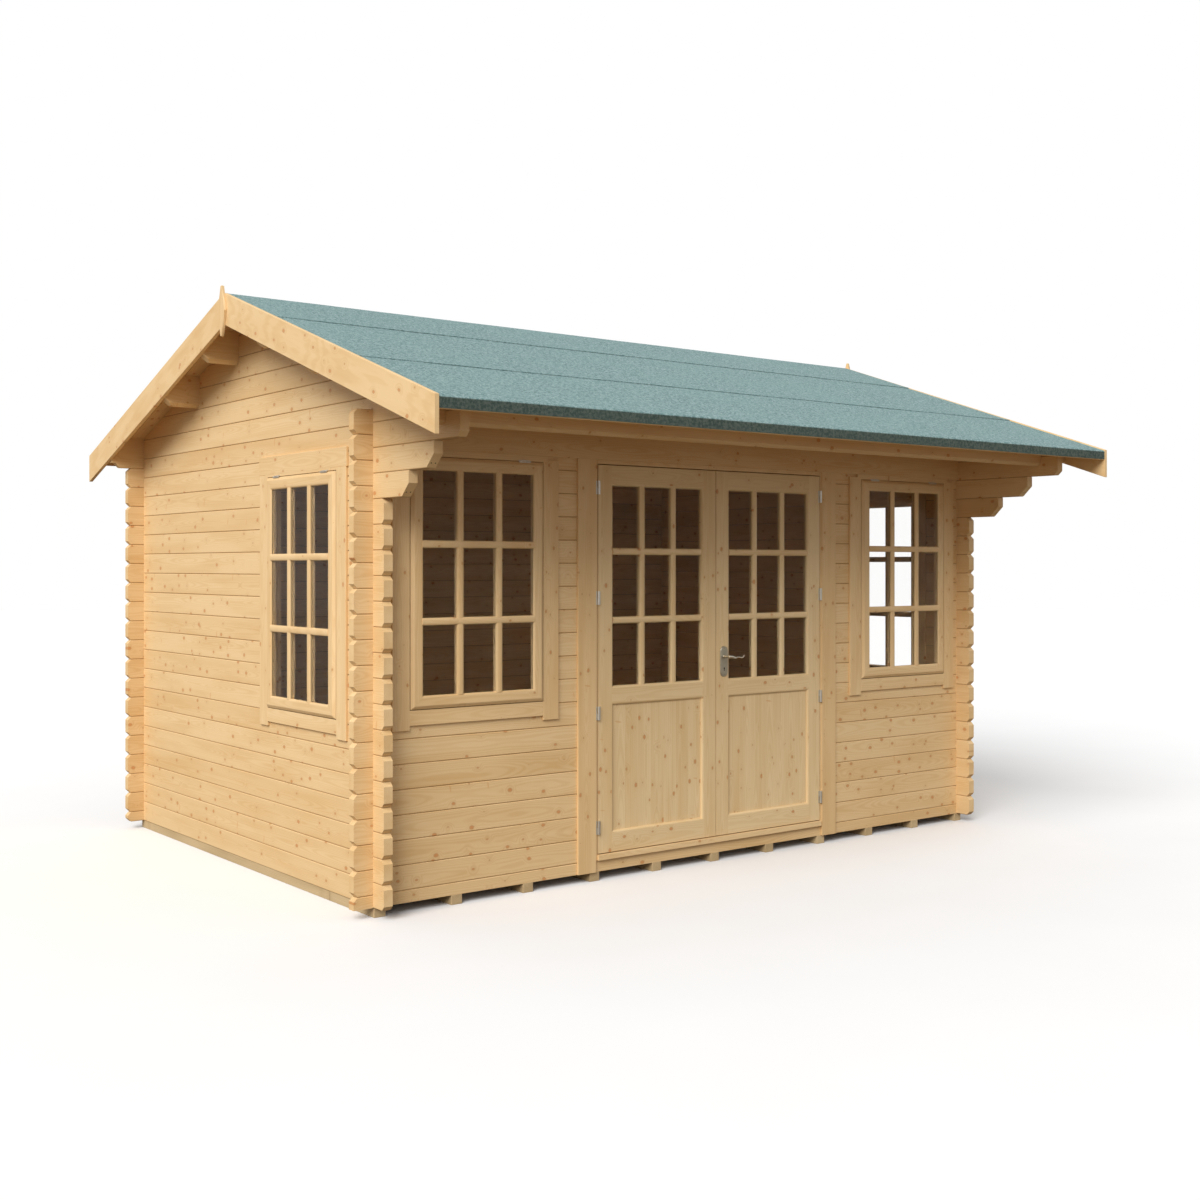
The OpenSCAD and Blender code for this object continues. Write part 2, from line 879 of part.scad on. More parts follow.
module lock_plates() {
    color(steel)
        at_origin()
            for (y = [leaf_face - plate_t, leaf_face + leaf_t])
                translate([handle_x, y, handle_z]) lock_plate();
}

// Lever with a curled end, drawn from its pivot towards +X
module lever_arm() {
    thick = 10;
    curl_r = 11;
    along_y(-thick / 2, thick / 2) {
        polygon([[0, lever_r], [lever_l * 0.3, lever_r * 0.9], [lever_l * 0.62, lever_r * 0.35],
            [lever_l - curl_r, lever_r * 0.75 + 1], [lever_l - curl_r, lever_r * 0.75 - curl_r],
            [lever_l * 0.6, -lever_r * 1.1], [lever_l * 0.3, -lever_r * 0.8], [0, -lever_r]]);
        translate([lever_l - curl_r, lever_r * 0.75 - curl_r + 2]) circle(curl_r);
        circle(lever_r);
    }
}

module door_handle() {
    out = leaf_face - plate_t - lever_y;
    back = leaf_face + leaf_t + plate_t + lever_y;
    color(steel)
        at_origin()
            translate([handle_x, 0, handle_z]) {
                translate([0, out, 0]) rotate([-90, 0, 0]) cylinder(r = spindle_r, h = back - out);
                for (y = [out, back - (lever_y - 3)])
                    translate([0, y, 0]) rotate([-90, 0, 0]) cylinder(r = lever_r, h = lever_y - 3);
                for (y = [out, back]) translate([0, y, 0]) lever_arm();
            }
}

// ---- Windows ----

// Draws a window in front of the wall's outer face, its middle at x = 0 and its sash's foot at z = 0
module window_lining() {
    side = sash_w / 2 + sash_gap;
    depth = log_t + 2 * casing_t;
    stop_in = sash_t - sash_proud + seat;
    difference() {
        translate([-side - lining_t, -casing_t, -sash_gap - lining_t])
            cube([2 * (side + lining_t), depth, window_open_h]);
        translate([-side, -casing_t - eps, -sash_gap])
            cube([2 * side, stop_in + eps, sash_h + 2 * sash_gap]);
        translate([stop_w - side, -casing_t - eps, stop_w - sash_gap])
            cube([2 * (side - stop_w), depth + 2 * eps, sash_h + 2 * sash_gap - 2 * stop_w]);
    }
}

module window_frame(head_trim) {
    side = sash_w / 2 + sash_gap;
    side_low = 92;
    bottom_h = 68;
    head_h = 90;
    head_over = 7;
    top = sash_h + casing_lift;
    window_lining();
    for (y = [-casing_t, log_t]) {
        for (x = [-side - window_casing_w, side])
            translate([x, y, -side_low]) cube([window_casing_w, casing_t, top + side_low]);
        translate([-side, y, -sash_gap - bottom_h]) cube([2 * side, casing_t, bottom_h]);
    }
    if (head_trim)
        for (y = [-casing_t, log_t])
            translate([-side - window_casing_w - head_over, y, top])
                cube([2 * (side + window_casing_w + head_over), casing_t, head_h]);
}

module window_sash() {
    translate([-sash_w / 2, -casing_t - sash_proud, 0])
        difference() {
            cube([sash_w, sash_t, sash_h]);
            translate([sash_stile, -eps, sash_stile])
                cube([sash_w - 2 * sash_stile, sash_t + 2 * eps, sash_h - 2 * sash_stile]);
        }
}

module window_glass() {
    translate([-sash_w / 2 + sash_stile, -casing_t - sash_proud + glass_in, sash_stile])
        cube([sash_w - 2 * sash_stile, glass_t, sash_h - 2 * sash_stile]);
}

sash_foot = front_sash_top - sash_h;

module at_front_left_window() {
    at_origin() translate([front_window_x, 0, sash_foot]) children();
}

module at_front_right_window() {
    at_origin() translate([wall_w - front_window_x, 0, sash_foot]) children();
}

module at_left_window() {
    at_origin() translate([0, side_window_y, sash_foot - log_h / 2]) rotate([0, 0, -90]) children();
}

module at_right_window() {
    at_origin() translate([wall_w, side_window_y, sash_foot - log_h / 2]) rotate([0, 0, 90]) children();
}

module front_left_window_frame() {
    color(pine) at_front_left_window() window_frame(false);
}

module front_left_window_sash() {
    color(pale_pine) at_front_left_window() window_sash();
}

module front_left_window_glass() {
    color(clear_glass) at_front_left_window() window_glass();
}

module front_right_window_frame() {
    color(pine) at_front_right_window() window_frame(false);
}

module front_right_window_sash() {
    color(pale_pine) at_front_right_window() window_sash();
}

module front_right_window_glass() {
    color(clear_glass) at_front_right_window() window_glass();
}

module left_window_frame() {
    color(pale_pine) at_left_window() window_frame(true);
}

module left_window_sash() {
    color(pale_pine) at_left_window() window_sash();
}

module left_window_glass() {
    color(clear_glass) at_left_window() window_glass();
}

module right_window_frame() {
    color(pale_pine) at_right_window() window_frame(true);
}

module right_window_sash() {
    color(pale_pine) at_right_window() window_sash();
}

module right_window_glass() {
    color(clear_glass) at_right_window() window_glass();
}

floor_bearers();
floor_boards();
front_sill_log();
front_wall_left();
front_wall_right();
front_wall_top();
front_head_board();
left_wall();
right_wall();
back_wall();
back_eaves_log();
left_gable();
right_gable();
front_eaves_beam();
ridge_purlin();
front_upper_purlin();
front_lower_purlin();
back_upper_purlin();
back_lower_purlin();
front_roof_boards();
back_roof_boards();
front_eaves_board();
back_eaves_board();
front_roof_felt();
back_roof_felt();
ridge_felt();
left_barge_boards();
right_barge_boards();
left_finial();
right_finial();
left_door_post();
right_door_post();
door_head();
door_threshold();
left_door();
left_door_glass();
left_door_hinges();
right_door();
right_door_glass();
right_door_hinges();
frame_hinges();
lock_plates();
door_handle();
front_left_window_frame();
front_left_window_sash();
front_left_window_glass();
front_right_window_frame();
front_right_window_sash();
front_right_window_glass();
left_window_frame();
left_window_sash();
left_window_glass();
right_window_frame();
right_window_sash();
right_window_glass();
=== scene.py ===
"""Looks of a log cabin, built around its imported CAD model.

Metres, +Z up, front towards -Y. The origin is on the ground under the ridge.
"""

import math
import random

import bpy
import numpy as np
from mathutils import Euler, Matrix, Vector


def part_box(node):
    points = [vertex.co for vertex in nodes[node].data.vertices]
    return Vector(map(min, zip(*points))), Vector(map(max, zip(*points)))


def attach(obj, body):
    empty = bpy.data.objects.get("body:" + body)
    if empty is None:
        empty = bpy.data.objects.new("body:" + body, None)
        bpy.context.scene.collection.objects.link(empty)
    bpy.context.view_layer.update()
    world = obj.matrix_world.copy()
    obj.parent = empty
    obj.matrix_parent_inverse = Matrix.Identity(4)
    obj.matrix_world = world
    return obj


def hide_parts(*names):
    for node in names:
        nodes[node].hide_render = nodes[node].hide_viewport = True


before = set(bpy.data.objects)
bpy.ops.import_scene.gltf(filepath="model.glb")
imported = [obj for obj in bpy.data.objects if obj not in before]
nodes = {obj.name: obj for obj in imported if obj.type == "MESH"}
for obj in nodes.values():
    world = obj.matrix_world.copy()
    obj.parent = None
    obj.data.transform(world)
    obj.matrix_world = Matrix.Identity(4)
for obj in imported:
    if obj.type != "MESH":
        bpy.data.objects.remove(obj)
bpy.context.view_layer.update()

X, Y, Z = Vector((1, 0, 0)), Vector((0, 1, 0)), Vector((0, 0, 1))
MM = 0.001
PITCH = math.radians(18.9)
COURSES = 19

wall_low, wall_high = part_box("left_wall")
LOG_H = (wall_high.z - wall_low.z) / COURSES
LOG_T = wall_high.x - wall_low.x
WALL_FOOT = wall_low.z
FRONT_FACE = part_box("back_wall")[1].y - 2816 * MM


# ---- Shader building ----


class Shader:
    """One material and short calls that add its nodes and return their outputs."""

    def __init__(self, name):
        self.material = bpy.data.materials.new(name)
        self.material.use_nodes = True
        self.tree = self.material.node_tree
        self.tree.nodes.clear()
        self.surface = self.tree.nodes.new("ShaderNodeBsdfPrincipled")
        output = self.tree.nodes.new("ShaderNodeOutputMaterial")
        self.tree.links.new(self.surface.outputs[0], output.inputs[0])

    def put(self, socket, value):
        if isinstance(value, bpy.types.NodeSocket):
            self.tree.links.new(value, socket)
        elif hasattr(socket.default_value, "__len__") and not hasattr(value, "__len__"):
            socket.default_value = (value,) * len(socket.default_value)
        elif hasattr(value, "__len__") and len(value) == 3 and len(socket.default_value) == 4:
            socket.default_value = (*value, 1)
        else:
            socket.default_value = value

    def add(self, kind, inputs, out=0, **settings):
        node = self.tree.nodes.new("ShaderNode" + kind)
        for key, value in settings.items():
            setattr(node, key, value)
        for key, value in inputs.items():
            self.put(node.inputs[key], value)
        return node.outputs[out]

    def attribute(self, name, out):
        return self.add("Attribute", {}, out, attribute_name=name)

    def math(self, operation, a, b=0.0, c=0.0):
        return self.add("Math", {0: a, 1: b, 2: c}, operation=operation)

    def vector(self, x, y, z):
        return self.add("CombineXYZ", {0: x, 1: y, 2: z})

    def split(self, vector):
        node = self.tree.nodes.new("ShaderNodeSeparateXYZ")
        self.tree.links.new(vector, node.inputs[0])
        return node.outputs[0], node.outputs[1], node.outputs[2]

    def noise(self, vector, scale, detail=2.0, rough=0.5):
        return self.add("TexNoise", {"Vector": vector, "Scale": scale, "Detail": detail, "Roughness": rough})

    def step(self, value, low, high, to_low=0.0, to_high=1.0):
        return self.add(
            "MapRange", {0: value, 1: low, 2: high, 3: to_low, 4: to_high}, interpolation_type="SMOOTHSTEP"
        )

    def mix(self, factor, a, b, blend="MIX"):
        return self.add("Mix", {0: factor, 6: a, 7: b}, 2, data_type="RGBA", blend_type=blend)

    def bump(self, height, distance, strength=1.0):
        return self.add("Bump", {"Height": height, "Distance": distance, "Strength": strength})

    def finish(self, **inputs):
        for key, value in inputs.items():
            self.put(self.surface.inputs[key.replace("_", " ")], value)
        return self.material


# ---- Materials ----


def timber(name, pale, dark, knot, knot_size=1.0, roughness=0.58, contrast=1.0, joint=None):
    """Sawn softwood: rings cut by the board's face, knots that push them aside, and fine fibre.

    It reads two attributes: grain holds metres along, across and into the board, and seed is one number
    for each board. joint is half a log's height, where a fine dark line of painted shade lies.
    """
    s = Shader(name)
    along, across, depth = s.split(s.attribute("grain", "Vector"))
    seed = s.attribute("seed", "Fac")

    # Knots lie in cells that reach through the board; the cell's own random number sets their size
    cells = s.tree.nodes.new("ShaderNodeTexVoronoi")
    cells.voronoi_dimensions = "2D"
    cell_across = s.math("MULTIPLY", across, 14)
    cell_place = s.vector(s.math("MULTIPLY", along, 10), s.math("MULTIPLY_ADD", seed, 31.0, cell_across), 0.0)
    s.tree.links.new(cell_place, cells.inputs["Vector"])
    cells.inputs["Scale"].default_value = 1
    distance, cell_random = cells.outputs["Distance"], s.split(cells.outputs["Color"])
    size = s.step(cell_random[0], 0.42, 1.10, 0.0, 0.15 * knot_size)
    ragged = s.noise(s.attribute("grain", "Vector"), 130.0, 2.0)
    inside = s.math("SUBTRACT", size, s.math("MULTIPLY_ADD", ragged, 0.05, s.math("SUBTRACT", distance, 0.025)))
    knot_mask = s.step(inside, 0.0, 0.05)
    rim = s.math("MULTIPLY", s.step(inside, -0.015, 0.012), s.step(inside, 0.05, 0.02))
    present = s.step(size, 0.015, 0.06)
    halo = s.math("MULTIPLY", s.step(distance, 0.42, 0.06), present)

    # A branch cut lengthwise shows as a spike across the grain
    spikes = s.tree.nodes.new("ShaderNodeTexVoronoi")
    spikes.voronoi_dimensions = "2D"
    lean = s.math("MULTIPLY_ADD", across, 1.6, s.math("MULTIPLY", along, 10))
    spike_place = s.vector(lean, s.math("MULTIPLY_ADD", seed, 17.0, s.math("MULTIPLY", across, 2.4)), 0.0)
    s.tree.links.new(spike_place, spikes.inputs["Vector"])
    spikes.inputs["Scale"].default_value = 1
    spike_size = s.step(s.split(spikes.outputs["Color"])[1], 0.66, 1.05, 0.0, 0.07 * knot_size)
    spike = s.step(s.math("SUBTRACT", spike_size, spikes.outputs["Distance"]), 0.0, 0.03)

    # Distance from the pith, which wanders along the board and so draws arches on the face
    wander = s.noise(s.vector(s.math("MULTIPLY", along, 0.8), seed, 0.0), 1.0, 1.0)
    pith_y = s.math("MULTIPLY_ADD", wander, 0.12, s.math("ADD", depth, -0.02))
    pith_x = s.math("MULTIPLY_ADD", s.math("SUBTRACT", seed, 0.5), 0.05, across)
    waves = s.noise(
        s.vector(s.math("MULTIPLY", along, 4), s.math("MULTIPLY", across, 22), s.math("MULTIPLY", depth, 22)),
        1.0,
    )
    radius = s.math("POWER", s.math("MULTIPLY_ADD", pith_y, pith_y, s.math("MULTIPLY", pith_x, pith_x)), 0.5)
    radius = s.math("MULTIPLY_ADD", waves, 0.008, radius)
    radius = s.math("MULTIPLY_ADD", halo, 0.011, radius)
    uneven = s.noise(s.vector(s.math("MULTIPLY", radius, 60), seed, 0.0), 1.0, 1.0)
    ring = s.math("SINE", s.math("MULTIPLY", s.math("MULTIPLY_ADD", uneven, 0.012, radius), 1100))
    ring = s.step(ring, -0.6, 1.0)

    fibre = s.noise(
        s.vector(s.math("MULTIPLY", along, 7), s.math("MULTIPLY", across, 420), s.math("MULTIPLY", depth, 420)),
        1.0,
        3.0,
    )
    cloud = s.noise(
        s.vector(s.math("MULTIPLY", along, 1.6), s.math("MULTIPLY", across, 14), s.math("MULTIPLY", depth, 14)),
        1.0,
        2.0,
    )
    shade = s.math("MULTIPLY_ADD", ring, 0.30 * contrast, s.math("MULTIPLY", fibre, 0.22 * contrast))
    shade = s.math("MULTIPLY_ADD", s.step(cloud, 0.35, 0.75), 0.42 * contrast, shade)
    shade = s.math("MULTIPLY_ADD", s.math("SUBTRACT", seed, 0.5), 0.34 * contrast, shade)
    shade.node.use_clamp = True
    wood = s.mix(shade, pale, dark)
    wood = s.mix(s.math("MULTIPLY", halo, 0.16), wood, tuple(0.6 * d + 0.4 * k for d, k in zip(dark, knot)))
    core = s.mix(s.noise(s.attribute("grain", "Vector"), 260.0), knot, tuple(1.5 * k for k in knot))
    wood = s.mix(s.math("MULTIPLY", spike, 0.6), wood, tuple(0.45 * d + 0.75 * k for d, k in zip(dark, knot)))
    wood = s.mix(s.math("MULTIPLY", knot_mask, 0.85), wood, core)
    wood = s.mix(s.math("MULTIPLY", rim, 0.25), wood, tuple(0.62 * k for k in knot))

    # Painted shade: a fine dark line where two logs meet, as if shade fell in the joint
    if joint:
        edge = s.step(s.math("ABSOLUTE", across), joint - 2.6 * MM, joint - 0.9 * MM)
        wood = s.mix(s.math("MULTIPLY", edge, 0.62), wood, (0.30, 0.15, 0.05))

    height = s.math("MULTIPLY_ADD", fibre, 0.6, s.math("MULTIPLY", ring, 0.35))
    height = s.math("MULTIPLY_ADD", knot_mask, 0.5, height)
    knot_gloss = s.math("MULTIPLY_ADD", knot_mask, -0.12, roughness - 0.08)
    return s.finish(
        Base_Color=wood,
        Roughness=s.math("MULTIPLY_ADD", fibre, 0.16, knot_gloss),
        Normal=s.bump(height, 0.35 * MM, 0.55),
    )


def felt_material():
    """Roofing felt with a coat of crushed green stone, and painted shade on its turned-down front drop."""
    s = Shader("mineral_felt")
    place = s.add("TexCoord", {}, "Object")
    grit = s.tree.nodes.new("ShaderNodeTexVoronoi")
    s.tree.links.new(place, grit.inputs["Vector"])
    grit.inputs["Scale"].default_value = 420
    stone = s.split(grit.outputs["Color"])[0]
    clumps = s.noise(place, 75.0, 3.0, 0.7)
    drift = s.noise(place, 2.6, 3.0)
    tone = s.math("MULTIPLY_ADD", stone, 0.30, s.math("MULTIPLY", s.step(clumps, 0.39, 0.61), 0.70))
    colour = s.mix(tone, (0.072, 0.155, 0.155), (0.305, 0.425, 0.420))
    colour = s.mix(s.math("MULTIPLY", s.step(drift, 0.35, 0.7), 0.22), colour, (0.200, 0.330, 0.320))
    colour = s.mix(s.math("MULTIPLY", s.step(stone, 0.93, 0.99), 0.5), colour, (0.60, 0.70, 0.66))
    # Painted shade: where the turned attribute is 1 (the front drop), the felt is darkened as if in shadow
    colour = s.mix(s.attribute("turned", "Fac"), colour, s.mix(1.0, colour, (0.32, 0.29, 0.245), "MULTIPLY"))
    height = s.math("MULTIPLY_ADD", clumps, 0.8, s.math("MULTIPLY", stone, 0.5))
    return s.finish(Base_Color=colour, Roughness=0.93, Normal=s.bump(height, 1.2 * MM, 0.7))


def glass_material():
    """Clear float glass, a little uneven."""
    s = Shader("window_glass")
    ripple = s.noise(s.add("TexCoord", {}, "Object"), 3.0, 1.0)
    return s.finish(
        Base_Color=(0.99, 0.99, 0.985),
        Roughness=s.math("MULTIPLY", ripple, 0.01),
        IOR=1.12,
        Transmission_Weight=1.0,
        Normal=s.bump(ripple, 0.3 * MM, 0.1),
    )


def metal_material(name, colour, worn, roughness):
    """Bare metal with fine scratches and dull patches."""
    s = Shader(name)
    place = s.add("TexCoord", {}, "Object")
    patches = s.noise(place, 60.0, 3.0)
    scratches = s.noise(s.add("Mapping", {"Vector": place, "Scale": (400, 400, 40)}), 1.0, 2.0)
    return s.finish(
        Base_Color=s.mix(patches, colour, worn),
        Metallic=1.0,
        Roughness=s.math("MULTIPLY_ADD", patches, 0.18, roughness),
        Normal=s.bump(scratches, 0.1 * MM, 0.35),
    )


def dark_material():
    """Painted shade for the inside of a keyhole or a slot in a screw head, a little uneven."""
    s = Shader("painted_recess_shade")
    shade_speckle = s.noise(s.add("TexCoord", {}, "Object"), 900.0)
    return s.finish(Base_Color=s.mix(shade_speckle, (0.012, 0.010, 0.008), (0.03, 0.026, 0.02)), Roughness=0.8)


KNOT = (0.50, 0.215, 0.070)
PINE_PALE, PINE_DARK = (0.835, 0.595, 0.315), (0.71, 0.45, 0.195)
MATERIALS = {
    "wall_logs": timber("pine_logs", PINE_PALE, PINE_DARK, KNOT, contrast=1.15, joint=LOG_H / 2),
    "trim_pine": timber("pine_trim", PINE_PALE, PINE_DARK, KNOT, 0.85),
    "door_pine": timber("pine_doors", (0.84, 0.63, 0.355), (0.73, 0.50, 0.24), KNOT, 0.95, 0.5, 1.2),
    "sash_pine": timber("pine_sashes", PINE_PALE, PINE_DARK, KNOT, 0.6, 0.5),
    "barge_pine": timber("pine_barge_boards", PINE_PALE, PINE_DARK, KNOT),
    "roof_timber": timber("pine_roof", PINE_PALE, PINE_DARK, KNOT),
    "floor_timber": timber("pine_floor", PINE_PALE, PINE_DARK, KNOT),
    "treated_timber": timber(
        "treated_softwood", (0.66, 0.49, 0.27), (0.46, 0.32, 0.16), (0.24, 0.12, 0.05), 0.8, 0.75, 1.3
    ),
    "roof_felt": felt_material(),
    "window_glass": glass_material(),
    "zinc_steel": metal_material("zinc_plate", (0.84, 0.81, 0.74), (0.66, 0.63, 0.56), 0.30),
    "handle_steel": metal_material("handle_metal", (0.90, 0.86, 0.76), (0.72, 0.67, 0.56), 0.16),
}
RECESS_SHADE = dark_material()
PLATE = metal_material("plate_metal", (0.62, 0.56, 0.44), (0.44, 0.40, 0.32), 0.28)


# ---- Meshes ----


def seed_of(*words):
    """One steady random number for each board, from its name."""
    return random.Random("/".join(str(w) for w in words)).random()


def eased_box(low, high, ease):
    """Vertices and faces of a box with its twelve edges planed off."""
    low, high = Vector(low), Vector(high)
    verts, index = [], {}
    for corner in range(8):
        sides = [(corner >> axis) & 1 for axis in range(3)]
        for flat in range(3):
            point = [
                (high[a] if sides[a] else low[a]) - (0 if a == flat else (ease if sides[a] else -ease))
                for a in range(3)
            ]
            index[(*sides, flat)] = len(verts)
            verts.append(point)
    faces = []
    for axis in range(3):
        b, c = (axis + 1) % 3, (axis + 2) % 3
        for end in (0, 1):
            loop = []
            for sb, sc in ((0, 0), (1, 0), (1, 1), (0, 1)):
                sides = [0, 0, 0]
                sides[axis], sides[b], sides[c] = end, sb, sc
                loop.append(index[(*sides, axis)])
            faces.append(loop if end else loop[::-1])
    for axis in range(3):
        b, c = (axis + 1) % 3, (axis + 2) % 3
        for sb in (0, 1):
            for sc in (0, 1):
                ends = []
                for end in (0, 1):
                    sides = [0, 0, 0]
                    sides[axis], sides[b], sides[c] = end, sb, sc
                    ends.append((index[(*sides, b)], index[(*sides, c)]))
                loop = [ends[0][0], ends[1][0], ends[1][1], ends[0][1]]
                faces.append(loop if sb == sc else loop[::-1])
    for corner in range(8):
        sides = [(corner >> axis) & 1 for axis in range(3)]
        loop = [index[(*sides, flat)] for flat in range(3)]
        faces.append(loop if sum(sides) % 2 else loop[::-1])
    return verts, faces


def prism(outline, start, end):
    """A closed outline of points repeated at two ends; start and end turn an outline point into a place."""
    count = len(outline)
    verts = [start(p) for p in outline] + [end(p) for p in outline]
    faces = [[i, (i + 1) % count, count + (i + 1) % count, count + i] for i in range(count)]
    return verts, faces + [list(range(count))[::-1], list(range(count, 2 * count))]


class Boards:
    """Collects the boards of one piece, each with its own grain and tone, and makes them one mesh."""

    def __init__(self, name):
        self.name = name
        self.verts, self.faces, self.grain, self.seeds = [], [], [], []
        self.smooth = []

    def add(self, shape, along, across, label=None, smooth=False):
        verts = [Vector(v) for v in shape[0]]
        seed = seed_of(self.name, label if label is not None else len(self.faces))
        into = along.cross(across)
        middle = sum(verts, Vector()) / len(verts)
        first = len(self.verts)
        for v in verts:
            self.verts.append(v)
            self.grain.append((v.dot(along) + 40 * seed, (v - middle).dot(across), (v - middle).dot(into)))
            self.seeds.append(seed)
        self.faces += [[first + i for i in face] for face in shape[1]]
        self.smooth += [smooth] * len(shape[1])

    def box(self, low, high, along, ease=1.2 * MM, label=None):
        size = Vector(high) - Vector(low)
        across = max((a for a in (X, Y, Z) if abs(a.dot(along)) < 0.5), key=lambda a: abs(size.dot(a)))
        self.add(eased_box(low, high, ease), along, across, label)

    def build(self, slot, body, replaces=(), material=None):
        mesh = bpy.data.meshes.new(self.name)
        mesh.from_pydata(self.verts, [], self.faces)
        grain = mesh.attributes.new("grain", "FLOAT_VECTOR", "POINT")
        grain.data.foreach_set("vector", np.array(self.grain, np.float32).ravel())
        seed = mesh.attributes.new("seed", "FLOAT", "POINT")
        seed.data.foreach_set("value", np.array(self.seeds, np.float32))
        mesh.polygons.foreach_set("use_smooth", self.smooth)
        mesh.update()
        piece = bpy.data.objects.new(self.name, mesh)
        bpy.context.scene.collection.objects.link(piece)
        mesh.materials.append(material or MATERIALS[slot])
        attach(piece, body)
        if replaces:
            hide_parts(*replaces)
        return piece


def round_edges(piece, width, angle=30):
    """Breaks the sharp edges of a piece, as planed timber has them."""
    weld = piece.modifiers.new("weld", "WELD")
    weld.merge_threshold = 0.01 * MM
    bevel = piece.modifiers.new("edges", "BEVEL")
    bevel.width = width
    bevel.segments = 2
    bevel.limit_method = "ANGLE"
    bevel.angle_limit = math.radians(angle)
    bevel.use_clamp_overlap = True


# ---- CAD nodes that stay: their grain and material ----


def paint(name, along, across, board_of, slot, ease=0.0):
    """Gives a CAD node its timber. board_of(face centre) returns the board's label and its middle, across."""
    node = nodes[name]
    mesh = node.data
    into = along.cross(across)
    low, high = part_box(name)
    middle_in = ((low + high) / 2).dot(into)
    grain = np.zeros((len(mesh.loops), 3), np.float32)
    seeds = np.zeros(len(mesh.loops), np.float32)
    points = np.array([v.co for v in mesh.vertices])
    for face in mesh.polygons:
        label, middle = board_of(face.center)
        seed = seed_of(name, label)
        for loop in face.loop_indices:
            v = points[mesh.loops[loop].vertex_index]
            grain[loop] = (v @ along + 40 * seed, v @ across - middle, v @ into - middle_in)
            seeds[loop] = seed
    mesh.attributes.new("grain", "FLOAT_VECTOR", "CORNER").data.foreach_set("vector", grain.ravel())
    mesh.attributes.new("seed", "FLOAT", "CORNER").data.foreach_set("value", seeds)
    cover(node, slot)
    if ease:
        round_edges(node, ease)


def cover(node, slot):
    """Puts a slot's material on every material slot of a CAD node."""
    if not node.material_slots:
        node.data.materials.append(None)
    for place in node.material_slots:
        place.material = MATERIALS[slot]


def by_course(foot):
    """Boards stacked one log high from foot up."""

    def board_of(centre):
        course = math.floor((centre.z - foot) / LOG_H)
        return course, foot + (course + 0.5) * LOG_H

    return board_of


def one_board(name, across):
    low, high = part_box(name)
    return lambda centre: (0, ((low + high) / 2).dot(across))


def paint_logs():
    for name in ("front_wall_left", "front_wall_right", "front_wall_top", "front_sill_log", "back_wall"):
        paint(name, X, Z, by_course(WALL_FOOT - LOG_H / 2), "wall_logs")
    for name in ("left_wall", "right_wall", "left_gable", "right_gable"):
        paint(name, Y, Z, by_course(WALL_FOOT), "wall_logs")


def paint_single_boards():
    for name in (
        "back_eaves_log",
        "front_eaves_beam",
        "ridge_purlin",
        "front_upper_purlin",
        "front_lower_purlin",
        "back_upper_purlin",
        "back_lower_purlin",
    ):
        paint(name, X, Z, one_board(name, Z), "roof_timber", 2 * MM)
    for name in ("front_eaves_board", "back_eaves_board", "front_head_board", "door_threshold", "door_head"):
        paint(name, X, Z, one_board(name, Z), "trim_pine", 1.5 * MM)
    for name in ("left_finial", "right_finial"):
        paint(name, Z, Y, one_board(name, Y), "barge_pine", 3 * MM)


def paint_posts():
    """Jamb and the casings on both faces are boards of their own."""
    for name in ("left_door_post", "right_door_post"):
        low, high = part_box(name)

        def board_of(centre):
            label = "inner" if centre.y > FRONT_FACE + LOG_T else "jamb"
            if centre.y < FRONT_FACE - 1 * MM:
                label = "outer"
            return label, (low.x + high.x) / 2

        paint(name, Z, X, board_of, "trim_pine", 1.5 * MM)


def paint_bearers():
    low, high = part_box("floor_bearers")
    count = 11
    pitch = (high.x - low.x) / count

    def board_of(centre):
        bearer = min(count - 1, math.floor((centre.x - low.x) / pitch))
        return bearer, centre.x

    paint("floor_bearers", Y, X, board_of, "treated_timber", 2 * MM)


def paint_barge_boards():
    """Grain follows each board up its slope."""
    for name in ("left_barge_boards", "right_barge_boards"):
        node = nodes[name]
        mesh = node.data
        grain = np.zeros((len(mesh.loops), 3), np.float32)
        seeds = np.zeros(len(mesh.loops), np.float32)
        for face in mesh.polygons:
            side = -1 if face.center.y < 0 else 1
            along = Vector((0, -side * math.cos(PITCH), math.sin(PITCH)))
            across = Vector((0, side * math.sin(PITCH), math.cos(PITCH)))
            seed = seed_of(name, side)
            middle = Vector((0, 0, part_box(name)[1].z - 75 * MM)).dot(across)
            for loop in face.loop_indices:
                v = mesh.vertices[mesh.loops[loop].vertex_index].co
                grain[loop] = (v.dot(along) + 40 * seed, v.dot(across) - middle, v.x)
                seeds[loop] = seed
        mesh.attributes.new("grain", "FLOAT_VECTOR", "CORNER").data.foreach_set("vector", grain.ravel())
        mesh.attributes.new("seed", "FLOAT", "CORNER").data.foreach_set("value", seeds)
        cover(node, "barge_pine")
        round_edges(node, 2 * MM)


# ---- Joinery: moulded frames, glazing bars and panels ----


def ovolo(width, depth, steps=5):
    """A quarter-round edge from the flat face down towards the glass, as (inset, depth) points."""
    points = []
    for i in range(steps + 1):
        turn = math.pi / 2 * i / steps
        points.append((width * math.sin(turn), depth * (1 - math.cos(turn))))
    return points


def frame_side(boards, corner, u, v, w, size, inset_u, profile, label):
    """One side of a rectangular frame, mitred at both ends.

    The side runs along u for size; v points into the opening and w into the depth. profile holds
    (inset, depth) points, and inset_u says how far the ends are mitred for each unit of inset.
    """
    outline = profile

    def start(p):
        return corner + u * (p[0] * inset_u) + v * p[0] + w * p[1]

    def end(p):
        return corner + u * (size - p[0] * inset_u) + v * p[0] + w * p[1]

    boards.add(prism(outline, start, end), u, v, label, smooth=False)


def frame_loop(boards, low, width, height, across, into, profile, label):
    """A mitred rectangular frame. low is its bottom corner on the face, across runs along its foot."""
    up = Z
    sides = [
        (low, across, up, width, "foot"),
        (low + up * height, across, -up, width, "head"),
        (low, up, across, height, "near"),
        (low + across * width, up, -across, height, "far"),
    ]
    for corner, u, v, size, side in sides:
        frame_side(boards, corner, u, v, into, size, 1.0, profile, f"{label}{side}")


